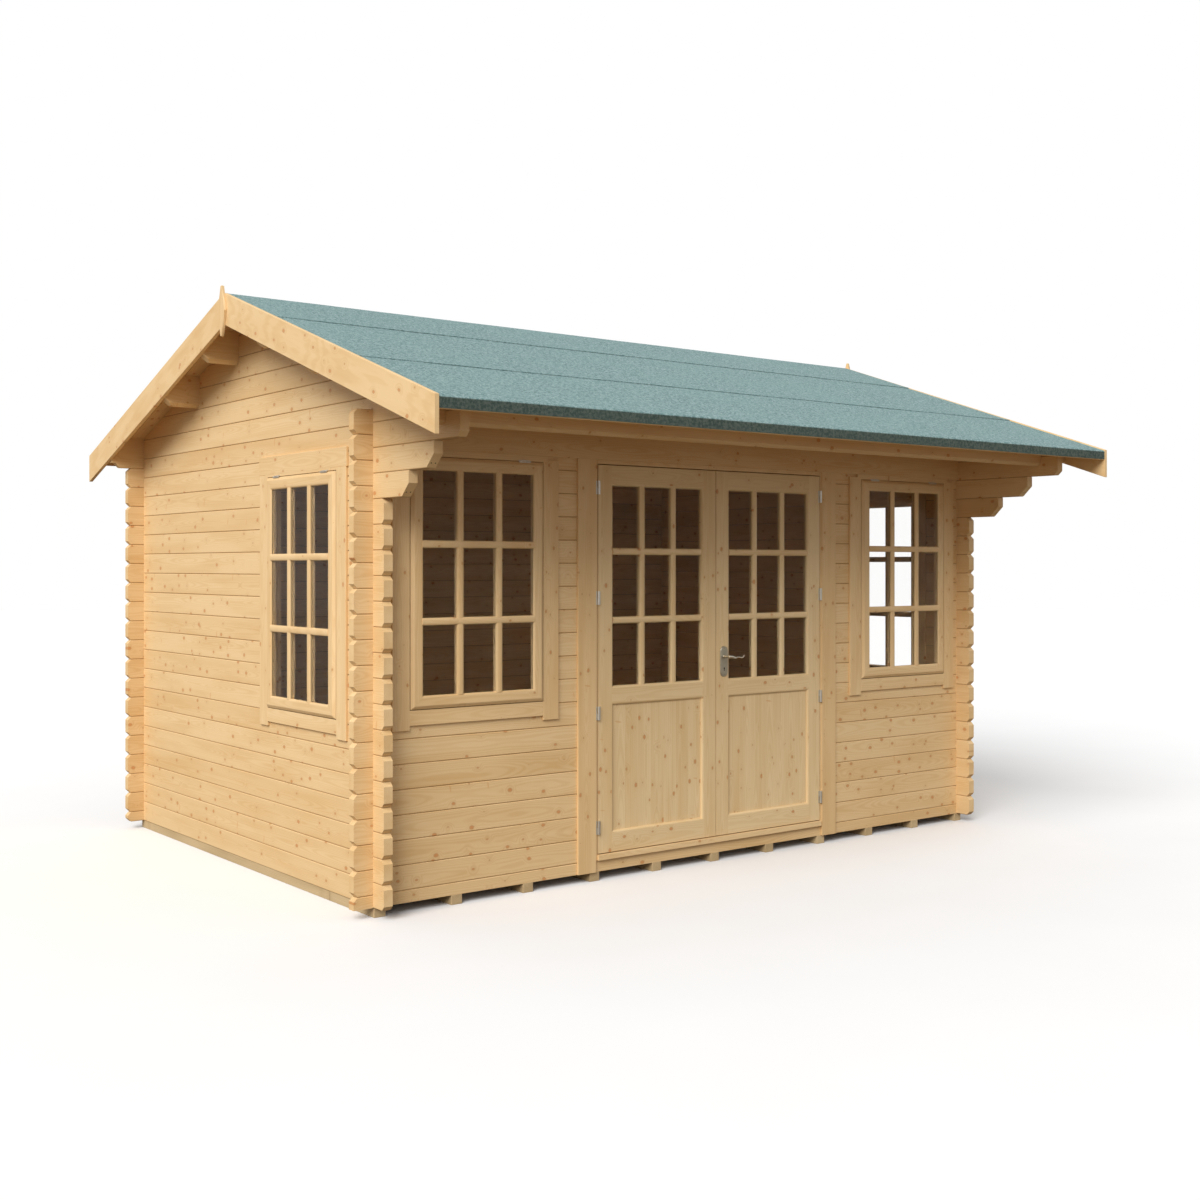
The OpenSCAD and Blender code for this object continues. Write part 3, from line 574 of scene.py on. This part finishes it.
def bar_profile(width, depth, steps=8):
    """Glazing bar: half of a flattened round standing on the glass, as (across, out) points."""
    points = []
    for i in range(steps + 1):
        turn = math.pi * i / steps
        side = -math.cos(turn)
        out = math.sin(turn) ** 0.75
        rise = depth * (0.35 + 0.65 * out) if 0 < i < steps else 0
        points.append((side * width / 2, rise))
    return points


def glazing_bars(
    boards, low, width, height, across, out, glass_face, depth, columns=3, rows=3, wide=36, tall=34, lap=4 * MM
):
    """Bars on one face of a pane, the level ones lapping the stiles. out points away from the glass."""
    over = 4 * MM
    for i in range(1, columns):
        bar = wide * MM
        middle = low + across * (i * (width + bar) / columns - bar / 2) + out * glass_face
        profile = bar_profile(bar, depth)

        def start(p, m=middle):
            return m + across * p[0] + out * p[1] - Z * over

        def end(p, m=middle):
            return m + across * p[0] + out * p[1] + Z * (height + over)

        boards.add(prism(profile, start, end), Z, across, f"upright{i}{out}", smooth=False)
    for j in range(1, rows):
        bar = tall * MM
        middle = low + Z * (j * (height + bar) / rows - bar / 2) + out * glass_face
        profile = bar_profile(bar, depth + 1.5 * MM)

        def start(p, m=middle):
            return m + Z * p[0] + out * p[1] - across * (lap - 0.3 * p[1])

        def end(p, m=middle):
            return m + Z * p[0] + out * p[1] + across * (width + lap - 0.3 * p[1])

        boards.add(prism(profile, start, end), across, Z, f"level{j}{out}", smooth=False)


SASH_STILE = 61 * MM
SASH_PROUD = 12 * MM
GLASS_IN = 8 * MM
MOULD = 12 * MM
GLASS_T = 4 * MM


def sash_profile(stile, thick):
    """Section of a sash member: a broad bevel on its proud edge, and a moulding to the glass each side."""
    bevel = [(0, 12 * MM), (0.8 * MM, 10.4 * MM), (13 * MM, 1.6 * MM), (14.5 * MM, 0.7 * MM), (17 * MM, 0)]
    mould = [(stile - MOULD + a, d) for a, d in ovolo(MOULD, GLASS_IN)]
    back = [(stile - MOULD + a, thick - d) for a, d in reversed(ovolo(MOULD, thick - GLASS_IN - GLASS_T))]
    return bevel + mould + back + [(2 * MM, thick), (0, thick - 2 * MM)]


def axes_of(window):
    """Directions of a window, from its sash's box: along its foot, and from outside to inside."""
    low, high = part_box(window + "_sash")
    if high.x - low.x > high.y - low.y:
        return X, Y, Vector((low.x, low.y, low.z)), high.x - low.x, high.y - low.y, high.z - low.z
    if low.x < 0:
        return -Y, X, Vector((low.x, high.y, low.z)), high.y - low.y, high.x - low.x, high.z - low.z
    return Y, -X, Vector((high.x, low.y, low.z)), high.y - low.y, high.x - low.x, high.z - low.z


def build_sash(window):
    across, into, low, width, thick, height = axes_of(window)
    boards = Boards(window + "_sash_joinery")
    frame_loop(boards, low, width, height, across, into, sash_profile(SASH_STILE, thick), "sash")
    opening = low + (across + Z) * SASH_STILE
    open_w, open_h = width - 2 * SASH_STILE, height - 2 * SASH_STILE
    inner = GLASS_IN + GLASS_T
    for out, base, depth, lap in (
        (-into, -GLASS_IN, GLASS_IN + 1.5 * MM, 10 * MM),
        (into, inner, thick - inner - 3 * MM, 4 * MM),
    ):
        glazing_bars(boards, opening, open_w, open_h, across, out, base, depth, lap=lap)
    boards.build("sash_pine", "cabin", [window + "_sash"])
    cover(nodes[window + "_glass"], "window_glass")


WINDOWS = ("front_left_window", "front_right_window", "left_window", "right_window")
LINING = 28 * MM
SASH_GAP = 3 * MM
CASING_T = 12 * MM
CASING_W = 90 * MM


def build_window_frame(window):
    """Lining boards round the opening, and casings on both faces of the wall."""
    across, into, low, width, thick, height = axes_of(window)
    low = low + into * SASH_PROUD
    boards = Boards(window + "_casing")
    depth = LOG_T + 2 * CASING_T
    side_window = window in ("left_window", "right_window")
    gap = SASH_GAP

    def slab(a0, a1, d0, d1, z0, z1, along, label, ease=1.5 * MM):
        a, b = low + across * a0 + into * d0 + Z * z0, low + across * a1 + into * d1 + Z * z1
        boards.box([min(p) for p in zip(a, b)], [max(p) for p in zip(a, b)], along, ease, label)

    out_a, out_b = -gap - LINING, width + gap + LINING
    foot, head = -gap - LINING, height + gap + LINING
    slab(out_a, -gap, 0, depth, foot + LINING, head - LINING, Z, "near_jamb", 0.8 * MM)
    slab(width + gap, out_b, 0, depth, foot + LINING, head - LINING, Z, "far_jamb", 0.8 * MM)
    slab(out_a, out_b, 0, depth, foot, -gap, across, "sill", 0.8 * MM)
    slab(out_a, out_b, 0, depth, height + gap, head, across, "head", 0.8 * MM)
    stop = 12 * MM
    stop_in = thick - SASH_PROUD + 0.2 * MM
    slab(-gap, stop - gap, stop_in, depth, -gap, height + gap, Z, "near_stop", 0.8 * MM)
    slab(width + gap - stop, width + gap, stop_in, depth, -gap, height + gap, Z, "far_stop", 0.8 * MM)
    slab(stop - gap, width + gap - stop, stop_in, depth, -gap, stop - gap, across, "foot_stop", 0.8 * MM)
    slab(stop - gap, width + gap - stop, stop_in, depth, height + gap - stop, height + gap, across, "head_stop")
    top = height + 15 * MM
    for face, d0 in (("outer", 0), ("inner", CASING_T + LOG_T)):
        d1 = d0 + CASING_T
        if face == "outer":
            d0, d1 = d0 - 0.6 * MM, d1
        else:
            d1 += 0.6 * MM
        for label, a0 in (("near", -gap - CASING_W), ("far", width + gap)):
            slab(a0, a0 + CASING_W, d0, d1, -92 * MM, top, Z, f"{face}_{label}_casing")
        slab(-gap, width + gap, d0, d1, -gap - 68 * MM, -gap, across, f"{face}_foot_casing")
        if side_window:
            over = 7 * MM
            slab(
                -gap - CASING_W - over,
                width + gap + CASING_W + over,
                d0,
                d1,
                top,
                top + 90 * MM,
                across,
                f"{face}_head_casing",
            )
    boards.build("trim_pine", "cabin", [window + "_frame"])


LEAF_STILE = 95 * MM
BOTTOM_RAIL = 104 * MM
PANEL_H = 619 * MM
MID_RAIL = 95 * MM
TOP_RAIL = 101 * MM
PANEL_SINK = 12 * MM
STAVES = 7


def build_leaf(side, body):
    """A door leaf: stiles, rails, a panel of glued staves and a pane with glazing bars."""
    low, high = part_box(side + "_door")
    boards = Boards(side + "_door_joinery")
    thick = high.y - low.y
    inner0, inner1 = low.x + LEAF_STILE, high.x - LEAF_STILE
    panel0 = low.z + BOTTOM_RAIL
    panel1 = panel0 + PANEL_H
    glass0 = panel1 + MID_RAIL
    glass1 = high.z - TOP_RAIL

    def member(x0, x1, z0, z1, along, label):
        boards.box((x0, low.y, z0), (x1, high.y, z1), along, 0.2 * MM, label)

    member(low.x, inner0 - MOULD, low.z, high.z, Z, "left_stile")
    member(inner1 + MOULD, high.x, low.z, high.z, Z, "right_stile")
    a, b = inner0 - MOULD, inner1 + MOULD
    member(a, b, low.z, panel0 - MOULD, X, "bottom_rail")
    member(a, b, panel1 + MOULD, glass0 - MOULD, X, "mid_rail")
    member(a, b, glass1 + MOULD, high.z, X, "top_rail")
    width = b - a
    edge = ovolo(MOULD, PANEL_SINK)
    panel_mould = edge + [(p, thick - d) for p, d in reversed(edge)]
    frame_loop(
        boards, Vector((a, low.y, panel0 - MOULD)), width, PANEL_H + 2 * MOULD, X, Y, panel_mould, "panel"
    )
    edge = ovolo(MOULD, (thick - GLASS_T) / 2 - 1 * MM)
    glass_mould = edge + [(p, thick - d) for p, d in reversed(edge)]
    frame_loop(
        boards,
        Vector((a, low.y, glass0 - MOULD)),
        width,
        glass1 - glass0 + 2 * MOULD,
        X,
        Y,
        glass_mould,
        "glass",
    )
    stave = (inner1 - inner0) / STAVES
    for i in range(STAVES):
        x0 = inner0 + i * stave
        boards.box(
            (x0, low.y + PANEL_SINK, panel0), (x0 + stave, high.y - PANEL_SINK, panel1), Z, 0.25 * MM, f"stave{i}"
        )
    opening = Vector((inner0, low.y, glass0))
    bar_depth = (thick - GLASS_T) / 2 - 3 * MM
    for out, base in ((-Y, -(thick - GLASS_T) / 2), (Y, (thick + GLASS_T) / 2)):
        glazing_bars(boards, opening, inner1 - inner0, glass1 - glass0, X, out, base, bar_depth)
    boards.build("door_pine", body, [side + "_door"])
    cover(nodes[side + "_door_glass"], "window_glass")


# ---- Roof and floor ----


def build_roof_boards():
    """Tongued boards from ridge to eaves, with V joints underneath."""
    for side, name in ((-1, "front_roof_boards"), (1, "back_roof_boards")):
        low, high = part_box(name)
        thick = 19 * MM
        ridge_under = high.z - thick / math.cos(PITCH)
        reach = (max(abs(low.y), abs(high.y)) - thick * math.sin(PITCH)) / math.cos(PITCH)
        count = 40
        cover_w = (high.x - low.x) / count
        boards = Boards(name + "_cladding")
        turn = Matrix.Rotation(-side * PITCH, 4, "X")
        place = Matrix.Translation((0, 0, ridge_under)) @ turn
        along = (turn @ (Y * side)).normalized()
        for i in range(count):
            x0 = low.x + i * cover_w
            ends = sorted((0.0, side * reach))
            verts, faces = eased_box((x0, ends[0], 0), (x0 + cover_w, ends[1], thick), 2.2 * MM)
            verts = [place @ Vector(v) for v in verts]
            boards.add((verts, faces), along, X, i)
        boards.build("roof_timber", "cabin", [name])


def build_floor():
    low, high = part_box("floor_boards")
    count = 24
    pitch = (high.y - low.y) / count
    boards = Boards("floor_boarding")
    for i in range(count):
        y0 = low.y + i * pitch
        boards.box((low.x, y0, low.z), (high.x, y0 + pitch, high.z), X, 1.5 * MM, i)
    boards.build("floor_timber", "cabin", ["floor_boards"])


FELT_T = 3 * MM
FELT_STEP = 25 * MM


def felt_sheet(name, outline, replaces):
    """A felt strip: outline(x) gives the (y, z) points of its section, and it runs the length of the roof."""
    low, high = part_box("front_roof_felt")
    steps = round((high.x - low.x) / FELT_STEP)
    verts, faces = [], []
    for i in range(steps + 1):
        x = low.x + (high.x - low.x) * i / steps
        section = outline(x)
        verts += [(x, y, z) for y, z in section]
    count = len(section)
    for i in range(steps):
        for j in range(count):
            a, b = i * count + j, i * count + (j + 1) % count
            faces.append([a, b, b + count, a + count])
    faces.append(list(range(count))[::-1])
    faces.append(list(range(steps * count, (steps + 1) * count)))
    boards = Boards(name)
    boards.add((verts, faces), X, Y, smooth=False)
    piece = boards.build("roof_felt", "cabin", replaces)
    eaves = abs(low.y) - FELT_T - 0.5 * MM
    # turned is 1 on the front drop, where the felt material paints shade
    turned = piece.data.attributes.new("turned", "FLOAT", "POINT")
    drop_top = low.z + 42 * MM
    turned.data.foreach_set("value", [1.0 if abs(v[1]) > eaves and v[2] < drop_top else 0.0 for v in verts])
    return piece


def ripple(x, d, seed):
    """Small unevenness of laid felt, in metres."""
    return (
        0.5 * math.sin(5.1 * x + 3.7 * d + seed)
        + 0.3 * math.sin(11.3 * x - 6.1 * d + 2 * seed)
        + 0.2 * math.sin(23.9 * x + 9.7 * d + 3 * seed)
    ) * MM


def build_felt():
    low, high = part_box("front_roof_felt")
    eaves = abs(low.y)
    layer = FELT_T / math.cos(PITCH)
    slope = math.tan(PITCH)
    # Undersides of the three layers at the ridge
    base = high.z - 2 * layer
    for side, word in ((-1, "front"), (1, "back")):

        def lower(x, side=side):
            rise = ripple(x, 0, side) * 0.4
            upper_side = []
            for d in (1.20, 1.35, 1.50, 1.65, 1.80, eaves - 0.012):
                upper_side.append((d, base + layer - slope * d + rise))
            edge = base + layer - slope * eaves + rise
            for k in range(5):
                turn = math.pi / 2 * k / 4
                y = eaves - 0.010 * (1 - math.sin(turn))
                upper_side.append((y, edge - 0.010 * (1 - math.cos(turn)) + 0.002))
            foot = low.z + 0.8 * ripple(x, 1.3, 5 + side)
            upper_side.append((eaves, foot))
            under = [(eaves - FELT_T, foot), (eaves - FELT_T, edge - layer - 0.004)]
            under.append((1.20, base - slope * 1.20 + rise))
            return [(side * d, z) for d, z in upper_side + under][:: -side]

        def upper(x, side=side):
            lap = 1.337 + 2.6 * ripple(x, 0.4, 2 + side)
            over = []
            for d in (0.40, 0.55, 0.70, 0.85, 1.0, 1.15, 1.28, lap):
                lift = 1.2 * MM if d == lap else 0.0
                over.append((d, base + 2 * layer - slope * d + lift + 0.5 * ripple(x, d, side)))
            under = [(lap, over[-1][1] - layer), (0.40, base + layer - slope * 0.40)]
            return [(side * d, z) for d, z in over + under][:: -side]

        felt_sheet(word + "_felt_lower", lower, [word + "_roof_felt"])
        felt_sheet(word + "_felt_upper", upper, [])

    def ridge(x):
        reach = 0.556
        over, under = [], []
        for d in (-1, -0.9, -0.7, -0.5, -0.3, -0.15, -0.03, 0, 0.03, 0.15, 0.3, 0.5, 0.7, 0.9, 1):
            lap = d * (reach + 2.6 * ripple(x, d, 9)) if abs(d) == 1 else d * reach
            soften = 2.2 * MM if d == 0 else 0
            lift = 1.4 * MM if abs(d) == 1 else 0
            z = base + 3 * layer - slope * abs(lap) - soften + lift + 0.4 * ripple(x, lap, 4)
            over.append((lap, z))
            under.append((lap, z - layer))
        return over[::-1] + under

    felt_sheet("ridge_felt_strip", ridge, ["ridge_felt"])


# ---- Metalwork ----


def lathe(boards, centre, axis, profile, sides=20, label=None):
    """A turned shape: profile holds (radius, height) points along the axis."""
    side = (Z if abs(axis.dot(Z)) < 0.9 else X).cross(axis).normalized()
    other = axis.cross(side)
    verts, faces = [], []
    for r, h in profile:
        for i in range(sides):
            a = 2 * math.pi * i / sides
            verts.append(centre + axis * h + (side * math.cos(a) + other * math.sin(a)) * r)
    for k in range(len(profile) - 1):
        for i in range(sides):
            j = (i + 1) % sides
            faces.append([k * sides + i, k * sides + j, (k + 1) * sides + j, (k + 1) * sides + i])
    faces.append(list(range(sides))[::-1])
    faces.append(list(range((len(profile) - 1) * sides, len(profile) * sides)))
    boards.add((verts, faces), axis, side, label, smooth=True)


def screw(boards, centre, axis, r=3.5 * MM):
    """Countersunk head; its cross slot is added apart, as thin bars of painted shade."""
    lathe(boards, centre, axis, [(r, -1 * MM), (r, 0.1 * MM), (0.8 * r, 0.5 * MM), (0.1 * r, 0.6 * MM)], 14)


# Painted shade: two thin dark bars lying on a screw head stand for its cross slot
def slot_mark(boards, centre, axis, across, r=3.5 * MM):
    up = axis.cross(across)
    for a, b in ((across, up), (up, across)):
        corners = []
        for sa, sb in ((-1, -1), (1, -1), (1, 1), (-1, 1)):
            corners.append(centre + a * (sa * 0.62 * r) + b * (sb * 0.12 * r))
        outline = [(c, 0) for c in corners]
        boards.add(prism(outline, lambda p: p[0], lambda p: p[0] + axis * 0.75 * MM), a, b)


def build_window_hinges(window):
    """Two butt hinges on the head of a top-hung sash."""
    across, into, low, width, _, height = axes_of(window)
    boards = Boards(window + "_hinges")
    length = 66 * MM
    part = length / 5
    knuckle = [(2.8 * MM, 0), (3.2 * MM, 0.4 * MM), (3.2 * MM, part - 1 * MM), (2.8 * MM, part - 0.6 * MM)]
    for middle in (75 * MM + length / 2, width - 75 * MM - length / 2):
        pin = low + across * middle + Z * (height + SASH_GAP / 2) + into * 4 * MM
        start = pin - across * (length / 2)
        for k in range(5):
            a = start + across * (length * k / 5 + 0.3 * MM)
            lathe(boards, a, across, knuckle, 14)
        for up, tall, deep in ((1, 4 * MM, 6.6 * MM), (-1, 3 * MM, -0.4 * MM)):
            a = start + Z * (up * 2.6 * MM) + into * deep
            b = a + across * length + Z * (up * tall) + into * 1.4 * MM
            lo, hi = [min(p) for p in zip(a, b)], [max(p) for p in zip(a, b)]
            boards.box(lo, hi, across, 0.3 * MM)
    boards.build("zinc_steel", "cabin")


def build_handle():
    """Scroll lever on both faces of the right leaf, on a round-ended lock plate."""
    low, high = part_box("door_handle")
    plate_low, plate_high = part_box("lock_plates")
    leaf_low, leaf_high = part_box("right_door")
    pivot = Vector(((plate_low.x + plate_high.x) / 2, 0, plate_low.z + (plate_high.z - plate_low.z) * 2 / 3))
    plates, lever = Boards("lock_plate_pair"), Boards("scroll_lever")
    # These marks are painted shade: dark pieces standing for keyholes and screw slots
    shade_marks = Boards("keyholes")
    half_w = (plate_high.x - plate_low.x) / 2
    tall = plate_high.z - plate_low.z
    for face, out in ((leaf_low.y, -Y), (leaf_high.y, Y)):
        middle = Vector((pivot.x, face, plate_low.z + tall / 2))
        levels = [(0, 0), (0, 3.4 * MM), (1.2 * MM, 4.6 * MM), (4.5 * MM, 4.6 * MM), (6 * MM, 5.6 * MM)]
        rings = []
        for inset, height in levels:
            ring = []
            for end in (1, -1):
                for i in range(17):
                    a = math.pi * i / 16
                    r = half_w - inset
                    ring.append(
                        middle
                        + X * (end * r * math.cos(a))
                        + Z * (end * (tall / 2 - half_w) + end * r * math.sin(a))
                        + out * height
                    )
            rings.append(ring)
        count = len(rings[0])
        verts = [v for ring in rings for v in ring]
        faces = []
        for k in range(len(rings) - 1):
            for i in range(count):
                j = (i + 1) % count
                faces.append([k * count + i, k * count + j, (k + 1) * count + j, (k + 1) * count + i])
        faces.append(list(range((len(rings) - 1) * count, len(rings) * count)))
        plates.add((verts, faces), Z, X, smooth=False)
        for z in (tall / 2 - 12 * MM, -tall / 2 + 12 * MM):
            centre = middle + Z * z + out * 5.6 * MM
            screw(plates, centre, out)
            slot_mark(shade_marks, centre, out, X)
        # Painted shade: a dark disc and bar stand for the keyhole's hollow
        key = middle + out * 5.5 * MM + Z * (-tall / 2 + 44 * MM)
        lathe(shade_marks, key, out, [(4.6 * MM, 0), (4.6 * MM, 0.3 * MM)], 18)
        shade_marks.box(
            [min(a, b) for a, b in zip(key + X * -2 * MM + Z * -14 * MM, key + X * 2 * MM + out * 0.3 * MM)],
            [max(a, b) for a, b in zip(key + X * -2 * MM + Z * -14 * MM, key + X * 2 * MM + out * 0.3 * MM)],
            Z,
            0.05 * MM,
        )
        hub = Vector((pivot.x, face, pivot.z))
        lathe(
            lever,
            hub,
            out,
            [(10 * MM, 5.8 * MM), (10 * MM, 9 * MM), (8 * MM, 11 * MM), (7 * MM, 14 * MM), (6.4 * MM, 30 * MM),
             (7.2 * MM, 40 * MM), (8.6 * MM, 46 * MM), (8.4 * MM, 53 * MM), (6 * MM, 57 * MM), (1 * MM, 58 * MM)],
            24,
        )
        build_scroll(lever, hub + out * 50 * MM, out)
    spindle = Vector((pivot.x, low.y + 8 * MM, pivot.z))
    lathe(lever, spindle, Y, [(5 * MM, 0), (5 * MM, high.y - low.y - 16 * MM)], 16)
    lever.build("handle_steel", "handle", ["door_handle"])
    plates.build("zinc_steel", "right_leaf", ["lock_plates"], PLATE)
    shade_marks.build("zinc_steel", "right_leaf", material=RECESS_SHADE)


def build_scroll(boards, root, out):
    """The lever's arm: it swells under the thumb, thins, and turns up at its tip."""
    line = [
        (0, 0.0, 8.0, 8), (10, -0.5, 8.0, 7), (20, -2.5, 7.5, 6), (28, -5.0, 7.5, 5.6), (34, -7.5, 6.6, 5.4),
        (39, -8.5, 4.8, 5), (43, -6.5, 3.8, 4.6), (50, -4.0, 3.6, 4.4), (60, -3.2, 3.6, 4.4), (70, -4.8, 3.7, 4.4),
        (79, -7.2, 3.9, 4.4), (87, -7.6, 4.0, 4.3), (93, -4.2, 4.0, 4.0), (97.5, 1.5, 3.6, 3.6), (99.5, 6.0, 2.6, 2.8),
        (99.8, 8.0, 0.5, 0.6),
    ]
    sides = 12
    verts, faces = [], []
    for k, (x, z, tall, wide) in enumerate(line):
        before, after = line[max(0, k - 1)], line[min(len(line) - 1, k + 1)]
        run = Vector((after[0] - before[0], 0, after[1] - before[1])).normalized()
        up = Vector((-run.z, 0, run.x))
        for i in range(sides):
            a = 2 * math.pi * i / sides
            verts.append(
                root + Vector((x, 0, z)) * MM + (up * (tall * math.cos(a)) + out * (wide * math.sin(a))) * MM
            )
    for k in range(len(line) - 1):
        for i in range(sides):
            j = (i + 1) % sides
            faces.append([k * sides + i, k * sides + j, (k + 1) * sides + j, (k + 1) * sides + i])
    faces.append(list(range(sides))[::-1])
    faces.append(list(range((len(line) - 1) * sides, len(line) * sides)))
    boards.add((verts, faces), X, Z, smooth=True)


# How far each bracket log stands out past the one under it, and the course of the lowest
BRACKET_STEP = 203 * MM
BRACKET_COURSE = 16


def build_bracket_screws():
    """Two sunk screws in the slanted end of each bracket log."""
    for word in ("left", "right"):
        low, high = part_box(word + "_wall")
        boards = Boards(word + "_bracket_screws")
        for step in range(2):
            end = low.y + (2 - step) * BRACKET_STEP
            foot = WALL_FOOT + (BRACKET_COURSE + step) * LOG_H
            a, b = Vector((0, end + 60 * MM, foot)), Vector((0, end, foot + 57 * MM))
            run = (b - a).normalized()
            out = Vector((0, -abs(run.z), -abs(run.y)))
            for share in (-1, 1):
                centre = a.lerp(b, 0.35) + Vector(((low.x + high.x) / 2 + share * 10 * MM, 0, 0))
                head = [(3 * MM, 0), (3 * MM, 0.5 * MM), (0.4 * MM, 0.6 * MM)]
                lathe(boards, centre - out * 0.3 * MM, out, head, 12)
        # The sunk heads take the recess material: painted shade of their holes
        boards.build("zinc_steel", "cabin", material=RECESS_SHADE)


# ---- Studio ----


def looked_at(tree):
    """1 on a ray that the camera sends, straight or through glass, and 0 on one that gathers light."""
    path = tree.nodes.new("ShaderNodeLightPath").outputs

    def math_node(operation, a, b):
        node = tree.nodes.new("ShaderNodeMath")
        node.operation = operation
        for socket, value in zip(node.inputs, (a, b)):
            if isinstance(value, bpy.types.NodeSocket):
                tree.links.new(value, socket)
            else:
                socket.default_value = value
        return node.outputs[0]

    unscattered = math_node("LESS_THAN", path["Diffuse Depth"], 0.5)
    through_glass = math_node("MULTIPLY", path["Is Transmission Ray"], unscattered)
    return math_node("MAXIMUM", path["Is Camera Ray"], through_glass)


def seen(shader, for_camera, for_light):
    """One value where it is looked at, straight or through glass, and another for the light that it throws."""
    return shader.mix(looked_at(shader.tree), for_light, for_camera)


def build_stage():
    """A wide flat floor of pale paper, which throws little light back up."""
    sides, radius = 64, 45.0
    turns = [2 * math.pi * i / sides for i in range(sides)]
    verts = [(radius * math.cos(t), radius * math.sin(t), 0.0) for t in turns]
    mesh = bpy.data.meshes.new("studio_floor")
    mesh.from_pydata(verts, [], [list(range(sides))])
    floor = bpy.data.objects.new("studio_floor", mesh)
    bpy.context.scene.collection.objects.link(floor)
    s = Shader("studio_paper")
    fleck = s.noise(s.add("TexCoord", {}, "Object"), 1.5)
    paper = s.mix(fleck, (0.93, 0.93, 0.93), (0.90, 0.90, 0.90))
    mesh.materials.append(s.finish(Base_Color=seen(s, paper, FLOOR_BOUNCE), Roughness=0.9))


FLOOR_BOUNCE = (0.17, 0.135, 0.095)
SKY = 0.60
SUNS = (("key", -61, 36, 2.95, 40),)


def build_light():
    world = bpy.data.worlds.new("studio")
    world.use_nodes = True
    tree = world.node_tree
    background = tree.nodes["Background"]
    strength = tree.nodes.new("ShaderNodeMapRange")
    tree.links.new(looked_at(tree), strength.inputs[0])
    strength.inputs[3].default_value = SKY
    strength.inputs[4].default_value = 1.0
    tree.links.new(strength.outputs[0], background.inputs[1])
    background.inputs[0].default_value = (1.0, 1.0, 1.0, 1)
    bpy.context.scene.world = world
    for name, heading, height, energy, spread in SUNS:
        light = bpy.data.lights.new(name, "SUN")
        light.energy = energy
        light.angle = math.radians(spread)
        lamp = bpy.data.objects.new(name, light)
        a, e = math.radians(heading), math.radians(height)
        towards = Vector((math.sin(a) * math.cos(e), -math.cos(a) * math.cos(e), math.sin(e)))
        lamp.rotation_mode = "QUATERNION"
        lamp.rotation_quaternion = towards.to_track_quat("Z", "Y")
        bpy.context.scene.collection.objects.link(lamp)


def build_camera():
    data = bpy.data.cameras.new("camera")
    data.lens = 43.44
    data.sensor_width = 36
    data.shift_y = -0.0282
    data.clip_end = 200
    camera = bpy.data.objects.new("camera", data)
    camera.location = (-5.1058, -6.7498, 1.5429)
    camera.rotation_euler = Euler((math.radians(90), 0, -math.radians(37.685)))
    bpy.context.scene.collection.objects.link(camera)
    bpy.context.scene.camera = camera
    bpy.context.scene.view_settings.view_transform = "Standard"


build_camera()
build_light()
build_stage()

paint_logs()
paint_single_boards()
paint_posts()
paint_bearers()
paint_barge_boards()
for window in WINDOWS:
    build_sash(window)
    build_window_frame(window)
    build_window_hinges(window)
build_leaf("left", "left_leaf")
build_leaf("right", "right_leaf")
build_roof_boards()
build_floor()
build_felt()
build_handle()
build_bracket_screws()
for name in ("left_door_hinges", "right_door_hinges", "frame_hinges"):
    cover(nodes[name], "zinc_steel")
